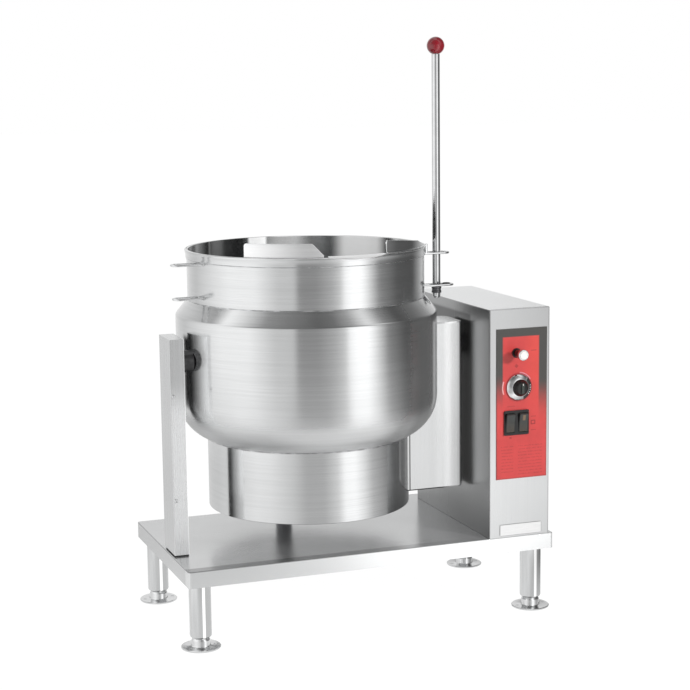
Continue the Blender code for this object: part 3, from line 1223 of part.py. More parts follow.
def wall_trim():
    """The bowl's wall with the rim band as one solid, grown by the seat gap."""
    outline = [(0, JACKET_CONE_TOP), (BOWL_RADIUS + SEAT_GAP, JACKET_CONE_TOP),
               (BOWL_RADIUS + SEAT_GAP, RIM_HEIGHT - RIM_BAND_TALL - SEAT_GAP),
               (BOWL_RADIUS + SEAT_GAP * 2 + RIM_FLARE_THICK, RIM_HEIGHT - RIM_BAND_TALL - SEAT_GAP),
               (BOWL_RADIUS + SEAT_GAP * 2 + RIM_FLARE_THICK, RIM_HEIGHT + SEAT_GAP * 2),
               (0, RIM_HEIGHT + SEAT_GAP * 2)]
    return turned(outline, KETTLE_SIDES)


def build_loops(tilt):
    for level, height in LOOP_HEIGHTS.items():
        for name, side in (("left", -1), ("right", 1)):
            low = height - LOOP_THICK / 2
            reach = LOOP_REACHES[level + "_" + name]
            plan = [(across, deep, low) for across, deep in loop_outline(side, reach)]
            loop = add_piece("handle_loop_" + level + "_" + name, extruded(plan, (0, 0, LOOP_THICK)),
                             POLISHED, tilt, KETTLE_FROM_TILT)
            if level == "upper" and name == "right":
                apply_tool(loop, loop_tab(height), "UNION")
            apply_tool(loop, wall_trim())


def loop_tab(height):
    """The upturned root of the upper loop beside the tilt handle."""
    offset = TRUNNION_Y - KETTLE_Y
    wall = math.sqrt(BOWL_RADIUS ** 2 - offset ** 2)
    outer = SLOT_HALF_WIDTH + LOOP_BAR_WIDTH
    far = wall + RIM_FLARE_THICK + LOOP_TAB_THICK
    return block((wall - LOOP_BAR_WIDTH, offset - outer, height),
                 (far, offset - SLOT_HALF_WIDTH, height + LOOP_TAB_TALL))


def build_tilt_handle(tilt):
    """Rod through the right loops, with a ball, a collar below and a cross pin above a loop."""
    place = (ROD_X, 0, -TRUNNION_HEIGHT)
    tip = ROD_RADIUS - ROD_TIP_ROUND
    rod = [(0, ROD_BOTTOM), (tip, ROD_BOTTOM), (ROD_RADIUS - tip / 2, ROD_BOTTOM + ROD_TIP_ROUND / 3),
           (ROD_RADIUS, ROD_BOTTOM + ROD_TIP_ROUND), (ROD_RADIUS, ROD_TOP), (ROD_SPIGOT_RADIUS, ROD_TOP),
           (ROD_SPIGOT_RADIUS, ROD_TOP + ROD_SPIGOT_LENGTH), (0, ROD_TOP + ROD_SPIGOT_LENGTH)]
    piece = add_piece("tilt_handle_rod", turned(rod, ROD_SIDES), POLISHED, tilt, place)
    loop_top = LOOP_HEIGHTS["lower"] + LOOP_THICK / 2
    pin_height = loop_top + SEAT_GAP + PIN_RADIUS
    drill = cylinder(PIN_RADIUS + SEAT_GAP, -PIN_LENGTH, PIN_LENGTH, SMALL_SIDES)
    apply_tool(piece, move_mesh(along_back(drill), (0, 0, pin_height)))
    pin = along_back(cylinder(PIN_RADIUS, -PIN_LENGTH / 2, PIN_LENGTH / 2, SMALL_SIDES))
    add_piece("handle_pin", pin, DARK_STEEL, tilt, (ROD_X, 0, pin_height - TRUNNION_HEIGHT))

    collar_top = LOOP_HEIGHTS["lower"] - LOOP_THICK / 2 - SEAT_GAP
    inside = ROD_RADIUS + SEAT_GAP
    third = COLLAR_LENGTH / 3
    low = collar_top - COLLAR_LENGTH
    collar = [(inside, low), (COLLAR_RADIUS, low), (COLLAR_RADIUS, low + third),
              (COLLAR_RADIUS - COLLAR_GROOVE, low + third + COLLAR_GROOVE),
              (COLLAR_RADIUS - COLLAR_GROOVE, collar_top - third - COLLAR_GROOVE),
              (COLLAR_RADIUS, collar_top - third), (COLLAR_RADIUS, collar_top), (inside, collar_top)]
    add_piece("handle_collar", turned(collar, ROD_SIDES), DARK_STEEL, tilt, place)

    seat = ROD_TOP + SEAT_GAP
    flat_angle = math.asin(BALL_FLAT_RADIUS / BALL_RADIUS)
    centre = seat + BALL_RADIUS * math.cos(flat_angle)
    bore = ROD_SPIGOT_RADIUS + SEAT_GAP
    bore_top = ROD_TOP + ROD_SPIGOT_LENGTH + SEAT_GAP
    ball = [(bore, seat)]
    for step in range(BALL_STEPS + 1):
        angle = flat_angle + (math.pi - flat_angle) * step / BALL_STEPS
        ball.append((BALL_RADIUS * math.sin(angle), centre - BALL_RADIUS * math.cos(angle)))
    ball[-1] = (0, ball[-1][1])
    ball += [(0, bore_top), (bore, bore_top)]
    add_piece("handle_ball", turned_blind(ball), RED_BALL, tilt, place)


# Steam fittings on the jacket's back

def fitting_elbow(across):
    """A nipple out of the jacket that turns up, and ends inside what it carries."""
    jacket_back = math.sqrt(JACKET_RADIUS ** 2 - across ** 2)
    start = jacket_back - FITTING_TUBE_RADIUS
    bend_start = JACKET_RADIUS + FITTING_REACH - FITTING_BEND
    path = [Vector((across, start, FITTING_HEIGHT)), Vector((across, bend_start, FITTING_HEIGHT))]
    for deep, up in arc_points((bend_start, FITTING_HEIGHT + FITTING_BEND), FITTING_BEND,
                               -math.pi / 2, 0, 3)[1:]:
        path.append(Vector((across, deep, up)))
    inside = FITTING_TUBE_RADIUS / 2
    path.append(Vector((across, JACKET_RADIUS + FITTING_REACH, FITTING_HEIGHT + FITTING_RISE + inside)))
    return swept(path, FITTING_TUBE_RADIUS, SMALL_SIDES)


def build_fittings(tilt):
    build_safety_valve(tilt)
    build_gauge(tilt)


def build_safety_valve(tilt):
    """Relief valve with a hexagon, a side outlet, a bonnet and a test lever."""
    base = Vector((-FITTING_SPREAD, JACKET_RADIUS + FITTING_REACH, FITTING_HEIGHT + FITTING_RISE))
    body_top = VALVE_HEX_TALL + VALVE_BODY_TALL
    bonnet_top = body_top + VALVE_BONNET_TALL
    pivot_height = bonnet_top + LEVER_PIVOT_RISE
    stem_top = pivot_height + LEVER_CHEEK_HALF
    neck = VALVE_BODY_RADIUS - VALVE_STEM_RADIUS
    outline = [(0, 0), (VALVE_BODY_RADIUS, 0), (VALVE_BODY_RADIUS, VALVE_HEX_TALL), (neck, VALVE_HEX_TALL),
               (neck, body_top - VALVE_STEM_RADIUS), (VALVE_BODY_RADIUS, body_top - VALVE_STEM_RADIUS),
               (VALVE_BODY_RADIUS, body_top), (VALVE_BONNET_RADIUS, body_top),
               (VALVE_BONNET_RADIUS, bonnet_top - VALVE_STEM_RADIUS),
               (VALVE_BONNET_RADIUS - VALVE_STEM_RADIUS, bonnet_top), (VALVE_STEM_RADIUS, bonnet_top),
               (VALVE_STEM_RADIUS, stem_top), (0, stem_top)]
    body = move_mesh(turned(outline, SMALL_SIDES), base)
    valve = add_piece("safety_valve", body, BRASS, tilt, KETTLE_FROM_TILT)
    apply_tool(valve, fitting_elbow(-FITTING_SPREAD), "UNION")
    outlet = cylinder(VALVE_OUTLET_RADIUS, 0, VALVE_OUTLET_LENGTH, SMALL_SIDES)
    outlet = turn_mesh(outlet, -math.pi / 2, "Y")
    middle = VALVE_HEX_TALL + VALVE_BODY_TALL / 2 - VALVE_STEM_RADIUS / 2
    apply_tool(valve, move_mesh(outlet, base + Vector((0, 0, middle))), "UNION")
    apply_tool(valve, kettle_envelope(SEAT_GAP))

    half = LEVER_WIDTH / 2
    thick = LEVER_THICK
    inner = half - thick
    pivot = KETTLE_FROM_TILT + base + Vector((0, 0, pivot_height))
    axis = make_empty("valve_lever_axis", tilt, pivot)
    cheek_half = LEVER_CHEEK_HALF
    cap = LEVER_PIVOT_RISE + SEAT_GAP
    top = block((-half, -half, cap), (LEVER_LENGTH, half, cap + thick))
    lever = add_piece("safety_valve_lever", top, POLISHED, axis)
    for side in (-1, 1):
        near, far = sorted((side * inner, side * half))
        cheek = block((-cheek_half, near, -cheek_half), (cheek_half, far, cap + thick / 2))
        apply_tool(lever, cheek, "UNION")


def build_gauge(tilt):
    """Pressure gauge that faces back, with a recessed dial and a glass."""
    base = Vector((FITTING_SPREAD, JACKET_RADIUS + FITTING_REACH, FITTING_HEIGHT + FITTING_RISE))
    rise = Vector((0, 0, GAUGE_RADIUS))
    start = -GAUGE_BACK
    face = GAUGE_FACE
    rim = GAUGE_RADIUS - GAUGE_LIP
    soft = GAUGE_LIP / 2
    dial = face - GAUGE_DIAL_RECESS
    case = [(0, start), (rim, start), (GAUGE_RADIUS, start + GAUGE_LIP), (GAUGE_RADIUS, face - soft),
            (GAUGE_RADIUS - soft, face), (rim, face), (rim, dial), (0, dial)]
    body = move_mesh(along_back(turned(case, ROUND_SIDES)), base + rise)
    gauge = add_piece("pressure_gauge", body, POLISHED, tilt, KETTLE_FROM_TILT)
    apply_tool(gauge, fitting_elbow(FITTING_SPREAD), "UNION")
    apply_tool(gauge, kettle_envelope(SEAT_GAP))
    glass_back = face - GAUGE_LIP
    glass = cylinder(rim - SEAT_GAP, glass_back, glass_back + GAUGE_GLASS_THICK, ROUND_SIDES)
    add_piece("gauge_glass", move_mesh(along_back(glass), base + rise), CLEAR_GLASS, tilt, KETTLE_FROM_TILT)


def main():
    clear_scene()
    stand = make_empty("stand_frame", None, (0, DEPTH_SHIFT, 0))
    tilt = make_empty("kettle_tilt_axis", stand, (0, TRUNNION_Y, TRUNNION_HEIGHT))
    build_table(stand)
    build_legs(stand)
    build_feet(stand)
    left_face = build_post(stand)
    build_console(stand)
    build_rear_cover(stand)
    build_gland(stand)
    right_face = build_right_upright(stand)
    build_bearings(stand, left_face, right_face)
    build_overlay(stand)
    build_name_plate(stand)
    build_lamp(stand)
    build_knob(stand)
    build_switches(stand)
    build_component_plate(stand)
    build_components(stand)
    build_thermostat(stand)
    build_rest(stand)
    build_bowl(tilt)
    build_rim_band(tilt)
    build_jacket(tilt)
    build_skirt(tilt)
    build_element(tilt)
    build_housing(tilt)
    build_right_trunnion(tilt)
    build_left_trunnion(tilt)
    build_lip(tilt)
    build_guards(tilt)
    build_loops(tilt)
    build_tilt_handle(tilt)
    build_fittings(tilt)
    bpy.context.view_layer.update()


main()
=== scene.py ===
import math

import bpy
from mathutils import Matrix, Vector


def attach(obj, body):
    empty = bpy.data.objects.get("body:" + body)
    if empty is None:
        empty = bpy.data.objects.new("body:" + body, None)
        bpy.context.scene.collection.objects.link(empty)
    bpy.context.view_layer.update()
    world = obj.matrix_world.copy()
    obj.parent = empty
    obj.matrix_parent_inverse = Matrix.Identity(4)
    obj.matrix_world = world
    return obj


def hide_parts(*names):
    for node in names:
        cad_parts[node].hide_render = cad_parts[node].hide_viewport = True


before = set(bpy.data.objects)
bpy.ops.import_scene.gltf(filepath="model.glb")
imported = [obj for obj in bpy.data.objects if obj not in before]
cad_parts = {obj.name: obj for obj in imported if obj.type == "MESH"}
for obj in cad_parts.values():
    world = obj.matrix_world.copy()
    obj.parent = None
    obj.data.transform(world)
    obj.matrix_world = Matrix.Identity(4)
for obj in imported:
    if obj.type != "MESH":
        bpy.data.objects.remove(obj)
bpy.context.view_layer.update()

kettleAxis = Vector((-0.0686, -0.0245, 0))
tiltLine = Vector((0, -0.0745, 0.525))
seamless = 0.000002  # points closer than this are one point
print("frame loaded")


# Shader helpers

class Wire:
    # a socket that can stand in sums
    def __init__(self, look, socket):
        self.look = look
        self.socket = socket

    def maths(self, operation, *values):
        return self.look.node("ShaderNodeMath", {"operation": operation}, dict(enumerate(values)))

    def __add__(self, other):
        return self.maths("ADD", self, other)

    def __sub__(self, other):
        return self.maths("SUBTRACT", self, other)

    def __rsub__(self, other):
        return self.maths("SUBTRACT", other, self)

    def __mul__(self, other):
        return self.maths("MULTIPLY", self, other)

    def __truediv__(self, other):
        return self.maths("DIVIDE", self, other)

    def __neg__(self):
        return self.maths("MULTIPLY", self, -1.0)

    def __abs__(self):
        return self.maths("ABSOLUTE", self)

    def __pow__(self, other):
        return self.maths("POWER", self, other)

    __radd__ = __add__
    __rmul__ = __mul__

    def least(self, other):
        return self.maths("MINIMUM", self, other)

    def most(self, other):
        return self.maths("MAXIMUM", self, other)

    def step(self, low, high):
        # 0 below low and 1 above high, smooth between
        return self.look.node("ShaderNodeMapRange", {"interpolation_type": "SMOOTHSTEP"},
                              {"Value": self, "From Min": low, "From Max": high})

    def past(self, edge, start=0.0002, end=0.0016):
        return self.step(edge + start, edge + end)

    def band(self, low, lowEnd, high, highEnd):
        # rises from low to lowEnd and falls from high to highEnd
        return self.step(low, lowEnd) * (1 - self.step(high, highEnd))


class Nodes:
    # a node tree in which one method makes every node
    def __init__(self, tree):
        self.tree = tree

    def feed(self, socket, value):
        if isinstance(value, Wire):
            self.tree.links.new(value.socket, socket)
        else:
            socket.default_value = value

    def node(self, kind, settings=None, values=None, output=0):
        made = self.tree.nodes.new(kind)
        for key, value in (settings or {}).items():
            if key == "stops":
                self.setStops(made.color_ramp, value)
            else:
                setattr(made, key, value)
        for key, value in (values or {}).items():
            self.feed(made.inputs[key], value)
        return Wire(self, made.outputs[output])

    def setStops(self, ramp, stops):
        while len(ramp.elements) < len(stops):
            ramp.elements.new(1.0)
        for element, (place, colour) in zip(ramp.elements, stops):
            element.position = place
            element.color = colour

    def surface(self, shader):
        self.feed(self.tree.nodes["Material Output"].inputs["Surface"], shader)

    def rays(self):
        # what the camera, a mirror or a pane sees, and what a mirror sees
        path = self.node("ShaderNodeLightPath").socket.node
        camera, mirror, pane = [Wire(self, path.outputs[f"Is {kind} Ray"])
                                for kind in ("Camera", "Glossy", "Transmission")]
        return camera.most(mirror).most(pane), mirror

    def spot(self, centre=(0, 0, 0), size=(1, 1, 1)):
        # object coordinates, counted from a centre and in units of size
        here = self.node("ShaderNodeTexCoord", output=3)
        return self.node("ShaderNodeMapping", {"vector_type": "TEXTURE"},
                         {"Vector": here, "Location": centre, "Scale": size})

    def place(self, centre=(0, 0, 0)):
        split = self.node("ShaderNodeSeparateXYZ", None, {"Vector": self.spot(centre)})
        return [Wire(self, socket) for socket in split.socket.node.outputs]

    def noise(self, size, detail=2.0, roughness=0.5):
        # size is that of a patch: one length, or one each along X, Y and Z
        sizes = (size, size, size) if isinstance(size, float) else size
        return self.node("ShaderNodeTexNoise", None,
                         {"Vector": self.spot(size=sizes), "Scale": 1.0, "Detail": detail, "Roughness": roughness})

    def inside(self, x, z, left, right, low, high, soft=0.0003):
        # 1 inside a box and 0 outside it
        return (x.band(left - soft, left + soft, right - soft, right + soft)
                * z.band(low - soft, low + soft, high - soft, high + soft))

    def around(self, x, y):
        # degrees about an axis, from the front towards the console
        return x.maths("ARCTAN2", x, -y) * (360 / math.tau)

    def mix(self, share, first, second):
        return self.node("ShaderNodeMix", {"data_type": "RGBA"}, {0: share, 6: first, 7: second}, 2)

    def bump(self, height, strength, distance=0.0003):
        return self.node("ShaderNodeBump", None,
                         {"Height": height, "Strength": strength, "Distance": distance})


class Finish(Nodes):
    def __init__(self, name, **fixed):
        self.material = bpy.data.materials.new(name)
        self.material.use_nodes = True
        super().__init__(self.material.node_tree)
        self.shader = self.tree.nodes["Principled BSDF"]
        self.rougher = 0.0
        self.set(**fixed)

    def set(self, **values):
        for key, value in values.items():
            self.feed(self.shader.inputs[key.replace("_", " ")], value)

    def glow(self, share, level):
        # painted light: the share of the surface glows at this level, though it is no lamp
        self.set(Emission_Color=self.mix(share, grey(0), grey(level)), Emission_Strength=1.0)

    def paintLightAndShade(self, colour, *places):
        # at each place a share of the colour gives way to a paler or darker steel: painted light or painted shade
        for share, factor in places:
            colour = self.mix(share, colour, shade(steelTone, factor))
        return colour

    def tones(self, share, tone, dark, pale):
        return self.mix(share, shade(tone, dark), shade(tone, pale))


def grey(level):
    return (level, level, level, 1.0)


def shade(colour, factor):
    return (*[min(1.0, part * factor) for part in colour[:3]], 1.0)


print("shader helpers ready")

# Finishes

steelTone = (0.705, 0.712, 0.715)
grains = {"alongX": (0.05, 0.0005, 0.0005), "upright": (0.0005, 0.0005, 0.05), "panel": (0.0006, 0.0006, 0.06),
          "round": (0.09, 0.09, 0.0006), "wall": (0.07, 0.07, 0.0008)}  # size of a scratch, in metres


def brushedSteel(name, grain, roughness=0.22, tone=steelTone, depth=0.03, shading=None, metal=1.0):
    # shading paints light or shade onto places
    look = Finish(name, Metallic=metal)
    fine = look.noise(grains[grain], 3.0, 0.6)
    broad = look.noise([part * 9 for part in grains[grain]])
    cloud = look.noise(0.11, 3.0, 0.55)
    lines = fine * 0.6 + broad * 0.4
    rough = roughness + (lines - 0.5) * 0.16 + (cloud - 0.5) * 0.08
    colour = look.tones(lines.step(0.32, 0.68), tone, 0.93, 1.05)
    colour = look.mix(cloud.step(0.3, 0.75) * 0.5, colour, shade(tone, 0.95))
    if shading:
        colour = shading(look, colour)
    look.set(Base_Color=colour, Roughness=rough + look.rougher, Normal=look.bump(lines, depth, 0.0004))
    return look.material


def polishedSteel(name, tone=(0.75, 0.755, 0.76), roughness=0.1):
    look = Finish(name, Metallic=1.0)
    cloud = look.noise(0.02, 4.0, 0.6)
    speck = look.noise(0.0015)
    look.set(Base_Color=look.tones(cloud.step(0.3, 0.7), tone, 0.94, 1.04), Normal=look.bump(cloud, 0.04, 0.0004),
             Roughness=roughness + cloud * 0.06 + speck * 0.03)
    return look.material


def tubeSteel(name, place):
    # a drawn tube with a painted highlight down its front, which also glows, and painted shade to the right of it
    look = Finish(name, Metallic=1.0)
    x, y, z = look.place(place)
    angle = look.around(x, y)
    cloud = look.noise((0.006, 0.006, 0.08), 4.0, 0.6)
    colour = look.tones(cloud.step(0.3, 0.7), steelTone, 0.94, 1.04)
    colour = look.paintLightAndShade(colour, (angle.band(-36, -16, 70, 110) * 0.5, 0.66))
    # painted highlight: a white line that glows
    white = angle.band(-5, -2, 10, 14)
    look.glow(white, 0.3)
    look.set(Base_Color=look.mix(white, colour, grey(1)), Roughness=0.13 + cloud * 0.06,
             Normal=look.bump(cloud, 0.01, 0.0004))
    return look.material


def machinedSteel(name, tone=(0.2, 0.2, 0.21), roughness=0.42):
    look = Finish(name, Metallic=1.0)
    grit = look.noise(0.002, 4.0, 0.6)
    stain = look.noise(0.02, 3.0, 0.6)
    look.set(Base_Color=look.tones(stain.step(0.35, 0.7), tone, 0.7, 1.35),
             Roughness=roughness + (grit - 0.5) * 0.25, Normal=look.bump(grit, 0.15))
    return look.material


def plastic(name, tone, roughness=0.4, coat=0.0, texture=0.0008):
    look = Finish(name, Coat_Weight=coat)
    grit = look.noise(texture, 3.0)
    worn = look.noise(0.015, 3.0, 0.6)
    look.set(Base_Color=look.tones(worn.step(0.3, 0.8), tone, 0.85, 1.2),
             Roughness=roughness + (worn - 0.5) * 0.12, Normal=look.bump(grit, 0.08, 0.0002))
    return look.material


# Light and shade on the large pieces, by place

console = {
    "left": 0.23375, "front": -0.22315, "top": 0.6085, "gapFront": -0.140, "gapFoot": 0.238, "gapTop": 0.585,
    "gapGlow": 0.024}


def consoleShading(look, colour):
    # the side beside the kettle and its gap lie in shade, the top lies in light
    x, y, z = look.place()
    side = 1 - x.past(console["left"])
    front = 1 - y.past(console["front"])
    top = z.past(console["top"], -0.0016, -0.0002)
    tall = z.band(console["gapFoot"], console["gapFoot"] + 0.02, console["gapTop"], 0.592)
    gap = side * y.past(console["gapFront"], 0, 0.012) * tall
    foot = side * (1 - z.step(0.160, 0.26)) * (0.7 - y.step(-0.10, 0.08) * 0.6)
    # the gap also gets a faint painted glow; the front, more so higher up, and the foot of the side are painted
    # darker
    look.glow(gap * (1 - z.step(0.49, 0.52) * 0.8), console["gapGlow"])
    return look.paintLightAndShade(colour, (front * 0.5, 0.92), (front * z.step(0.25, 0.50) * 0.65, 0.62), (side * 0.9, 0.5),
                       (side * z.step(0.585, 0.6) * 0.6, 0.6), (foot, 0.24), (gap * 0.9, 0.2), (top * 0.9, 1.3))


post = {"front": -0.1128, "inner": -0.3416, "bend": -0.36755, "glow": 0.65}


def postShading(look, colour):
    # painted shade on the inner face towards its back and a painted glow at its front part, a paler painted lower
    # front, and a painted dark line along the bend
    x, y, z = look.place()
    inner = x.past(post["inner"], 0, 0.0006)
    front = 1 - y.past(post["front"], 0, 0.0008)
    lower = front * (1 - z.step(0.42, 0.50))
    bend = look.inside(x, z, post["bend"] - 0.0004, post["bend"] + 0.0004, 0.162, 0.572, 0.0002) * front
    look.set(Metallic=1 - lower * 0.4)
    look.glow(inner * (1 - y.step(-0.118, -0.045)), post["glow"])
    return look.paintLightAndShade(colour, (inner * y.step(-0.085, -0.050), 0.1), (lower * 0.8, 1.3), (bend * 0.35, 0.3))


def jacketShading(look, colour):
    # the console stands close at the right and keeps the light away
    x, y, z = look.place(kettleAxis)
    angle = look.around(x, y)
    wall = 1 - z.step(0.596, 0.604)
    right = (angle.step(12, 36) * 0.45 + angle.step(32, 40) * 0.25) * (1 - angle.step(95, 110)) * wall
    knee = z.band(0.352, 0.356, 0.395, 0.432)
    look.set(Metallic=1 - knee * 0.4)
    # a faint painted glow in a band on the right side
    look.glow(angle.band(26, 42, 60, 80) * wall, 0.07)
    look.rougher = knee * 0.28 + angle.band(24, 33, 46, 54) * 0.16
    return look.paintLightAndShade(colour, (right, 0.12))


def skirtShading(look, colour):
    x, y, z = look.place(kettleAxis)
    # painted shade at the right, towards the console, with a faint painted glow
    right = look.around(x, y).band(32, 40, 95, 110)
    look.glow(right, 0.04)
    return look.paintLightAndShade(colour, (right * 0.5, 0.12))


table = {"front": -0.20065, "left": -0.37205, "top": 0.1571}


def tableShading(look, colour):
    # folded edges: aprons painted brighter, more so towards the right, below a fine painted dark line along the
    # fold that fades to the right
    x, y, z = look.place()
    front = 1 - y.past(table["front"], 0.0002, 0.001)
    left = 1 - x.past(table["left"], 0.0002, 0.001)
    fold = front.most(left) * z.past(table["top"], -0.0020, -0.0012)
    return look.paintLightAndShade(colour, (front, 1.12), (front * x.step(-0.25, 0.30), 1.4),
                       (fold * 0.75 * (1 - x.step(-0.1, 0.34) * 0.5), 0.3))


housing = {"front": -0.1195, "right": 0.2255, "top": 0.5745, "fold": 0.1097, "hem": 0.2441, "glow": 0.5}


def housingShading(look, colour):
    # a front painted bright with a painted glow and darker towards its left, painted dark lines along the fold at
    # its left and along the hem, a top painted paler with a glow, and a right side painted darker
    x, y, z = look.place()
    front = 1 - y.past(housing["front"], 0.0004, 0.003)
    lid = z.past(housing["top"], -0.0015, -0.0003)
    lit = front * x.band(0.178, 0.196, 0.213, 0.2270) * (0.6 + z.step(0.30, 0.5) * 0.2) + lid * 0.35
    look.glow(lit, housing["glow"])
    fold = look.inside(x, z, housing["fold"] - 0.0013, housing["fold"] + 0.0013, 0.2, 0.6)
    dark = fold.most(1 - z.past(housing["hem"], 0, 0.0008)) * front
    return look.paintLightAndShade(colour, (front, 1.1), (front * (1 - x.step(0.155, 0.198)) * 0.55, 0.55),
                       (dark * 0.85, 0.08), (lid, 1.35), (x.past(housing["right"], 0, 0.001) * 0.9, 0.3))


windowLight = {
    "wall": 0.2286,  # streaks are by angle, half width, softness and brightness
    "streaks": [(131, 13, 9, 0.5), (172, 9, 15, 0.36), (187, 5, 2, 0.75), (219, 0.8, 0.8, 0.08), (104, 6, 5, 0.04)]}


def bowlShading(look, colour):
    # painted streaks of window light that glow on the inner wall, and a painted dark band
    x, y, z = look.place(kettleAxis)
    angle = x.maths("WRAP", look.around(x, y), 360.0, 0.0)
    within = 1 - (x * x + y * y).step((windowLight["wall"] + 0.0002) ** 2, (windowLight["wall"] + 0.0008) ** 2)
    light = 0.0
    for middle, half, soft, level in windowLight["streaks"]:
        light = light + (1 - abs(angle - middle).step(half - soft / 2, half + soft / 2)) * level
    look.glow(light * within * z.step(0.58, 0.70), 1.0)
    return look.paintLightAndShade(colour, (within * angle.band(193, 196, 236, 244) * z.step(0.55, 0.68) * 0.75, 0.15))


sheetAlongX = brushedSteel("sheet_brushed_along_x", "alongX", 0.24, depth=0.05)
sheetUpright = brushedSteel("sheet_brushed_upright", "upright", 0.26, depth=0.05)
tableSteel = brushedSteel("table_brushed_along_x", "alongX", 0.22, (0.66, 0.666, 0.67), 0.05, tableShading, 0.75)
consoleSteel = brushedSteel("console_brushed_upright", "panel", 0.3, shading=consoleShading)
postSteel = brushedSteel("post_brushed_upright", "panel", 0.28, shading=postShading)
housingSteel = brushedSteel("housing_brushed_upright", "panel", 0.26, (0.76, 0.765, 0.77), shading=housingShading)
shellSteel = brushedSteel("shell_brushed_round", "round", 0.14)
jacketSteel = brushedSteel("jacket_brushed_round", "round", 0.14, shading=jacketShading)
skirtSteel = brushedSteel("skirt_brushed_round", "round", 0.14, shading=skirtShading)
bowlSteel = brushedSteel("bowl_brushed_round", "wall", 0.16, shading=bowlShading)
# a paler copy of the steel: painted light for the lip and the left guard
guardSteelPaintedPale = brushedSteel("guard_brushed_round_painted_pale", "wall", 0.42, (0.97, 0.975, 0.98))
chrome = polishedSteel("polished_chrome")
weldSteel = machinedSteel("weld_bead_steel", (0.6, 0.605, 0.61), 0.34)
darkSteel = machinedSteel("machined_dark_steel")
bronze = machinedSteel("machined_bronze", (0.4, 0.24, 0.1), 0.34)
brass = machinedSteel("cast_brass", (0.56, 0.41, 0.17), 0.3)
blackPlastic = plastic("moulded_black", (0.012, 0.012, 0.013), 0.32)
greyPlastic = plastic("moulded_grey", (0.22, 0.23, 0.24), 0.5)
rubber = plastic("black_rubber", (0.02, 0.02, 0.021), 0.75)
redGloss = plastic("red_ball_gloss", (0.27, 0.008, 0.018), 0.12, 0.6, 0.002)
lampWhite = plastic("lamp_lens_white", (0.82, 0.8, 0.77), 0.18, 0.4)
print("finishes ready")


# Modelling helpers

def startClean():
    active = bpy.context.view_layer.objects.active
    if active is not None and active.mode != "OBJECT":
        bpy.ops.object.mode_set(mode="OBJECT")
    bpy.ops.object.select_all(action="DESELECT")


def pick(piece):
    # the only selected piece and the active one
    startClean()
    piece.select_set(True)
    bpy.context.view_layer.objects.active = piece


def selectAll():
    bpy.ops.mesh.select_all(action="SELECT")


def newest(name):
    piece = bpy.context.object
    piece.name = name
    return piece


def applyPlace(piece):
    pick(piece)
    bpy.ops.object.transform_apply(location=True, rotation=True, scale=True)
    return piece


def drawChain(name, points):
    # one point, pulled from place to place
    startClean()
    bpy.ops.mesh.primitive_plane_add(size=0.01, location=(0, 0, 0))
    piece = newest(name)
    bpy.ops.object.mode_set(mode="EDIT")
    selectAll()
    bpy.ops.mesh.merge(type="CENTER")
    bpy.ops.transform.translate(value=points[0])
    for before, after in zip(points, points[1:]):
        step = Vector(after) - Vector(before)
        bpy.ops.mesh.extrude_region_move(TRANSFORM_OT_translate={"value": step})
    selectAll()
    return piece


def useModifier(piece, kind, **settings):
    pick(piece)
    modifier = piece.modifiers.new(kind.lower(), kind)
    for key, value in settings.items():
        setattr(modifier, key, value)
    bpy.ops.object.modifier_apply(modifier=modifier.name)
    return piece


def soften(piece, width, segments=3, angle=40):
    return useModifier(piece, "BEVEL", width=width, segments=segments, limit_method="ANGLE",
                       angle_limit=math.radians(angle), harden_normals=False)


def finishPiece(piece, material, body, nodes=(), angle=35):
    pick(piece)
    bpy.ops.object.shade_smooth_by_angle(angle=math.radians(angle))
    piece.data.materials.clear()
    piece.data.materials.append(material)
    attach(piece, body)
    if nodes:
        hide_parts(*nodes)
    return piece


def spinRound(steps):
    bpy.ops.mesh.spin(steps=steps, angle=math.tau, center=(0, 0, 0), axis=(0, 0, 1))
    selectAll()
    bpy.ops.mesh.remove_doubles(threshold=seamless)


def faceOutwards():
    selectAll()
    bpy.ops.mesh.normals_make_consistent(inside=False)
    bpy.ops.object.mode_set(mode="OBJECT")


def turnedPiece(name, outline, place=(0, 0, 0), sides=64, turn=(0, 0, 0)):
    # outline is radius and height; it is closed to its start unless both ends are on the axis
    points = [(radius, 0, height) for radius, height in outline]
    if outline[0][0] > 0 or outline[-1][0] > 0:
        points.append(points[0])
    piece = drawChain(name, points)
    bpy.ops.mesh.remove_doubles(threshold=seamless)
    selectAll()
    spinRound(sides)
    bpy.ops.mesh.dissolve_degenerate(threshold=seamless)
    faceOutwards()
    piece.rotation_euler = turn
    piece.location = place
    return applyPlace(piece)


def platePiece(name, outline, pull):
    # a flat outline in space, pulled into a plate
    piece = drawChain(name, outline)
    bpy.ops.mesh.edge_face_add()
    bpy.ops.mesh.extrude_region_move(TRANSFORM_OT_translate={"value": pull})
    faceOutwards()
    return piece


def blockPiece(name, low, high, soft=0.0, segments=2):
    startClean()
    low = Vector(low)
    high = Vector(high)
    bpy.ops.mesh.primitive_cube_add(size=1, location=(low + high) / 2, scale=high - low)
    piece = applyPlace(newest(name))
    return soften(piece, soft, segments) if soft else piece


def curvedSheet(name, grid, rule, thick, offset, soft, segments, material, nodes=()):
    # a sheet whose points are set by a rule of their two shares
    startClean()
    bpy.ops.mesh.primitive_grid_add(x_subdivisions=grid[0], y_subdivisions=grid[1], size=2)
    piece = newest(name)
    for vert in piece.data.vertices:
        vert.co = rule((vert.co.x + 1) / 2, (vert.co.y + 1) / 2)
    useModifier(piece, "SOLIDIFY", thickness=thick, offset=offset)
    soften(piece, soft, segments)
    finishPiece(piece, material, "kettle", nodes, 40)


def cutWith(piece, tool, operation="DIFFERENCE"):
    useModifier(piece, "BOOLEAN", object=tool, operation=operation, solver="EXACT")
    bpy.data.objects.remove(tool, do_unlink=True)
    return piece


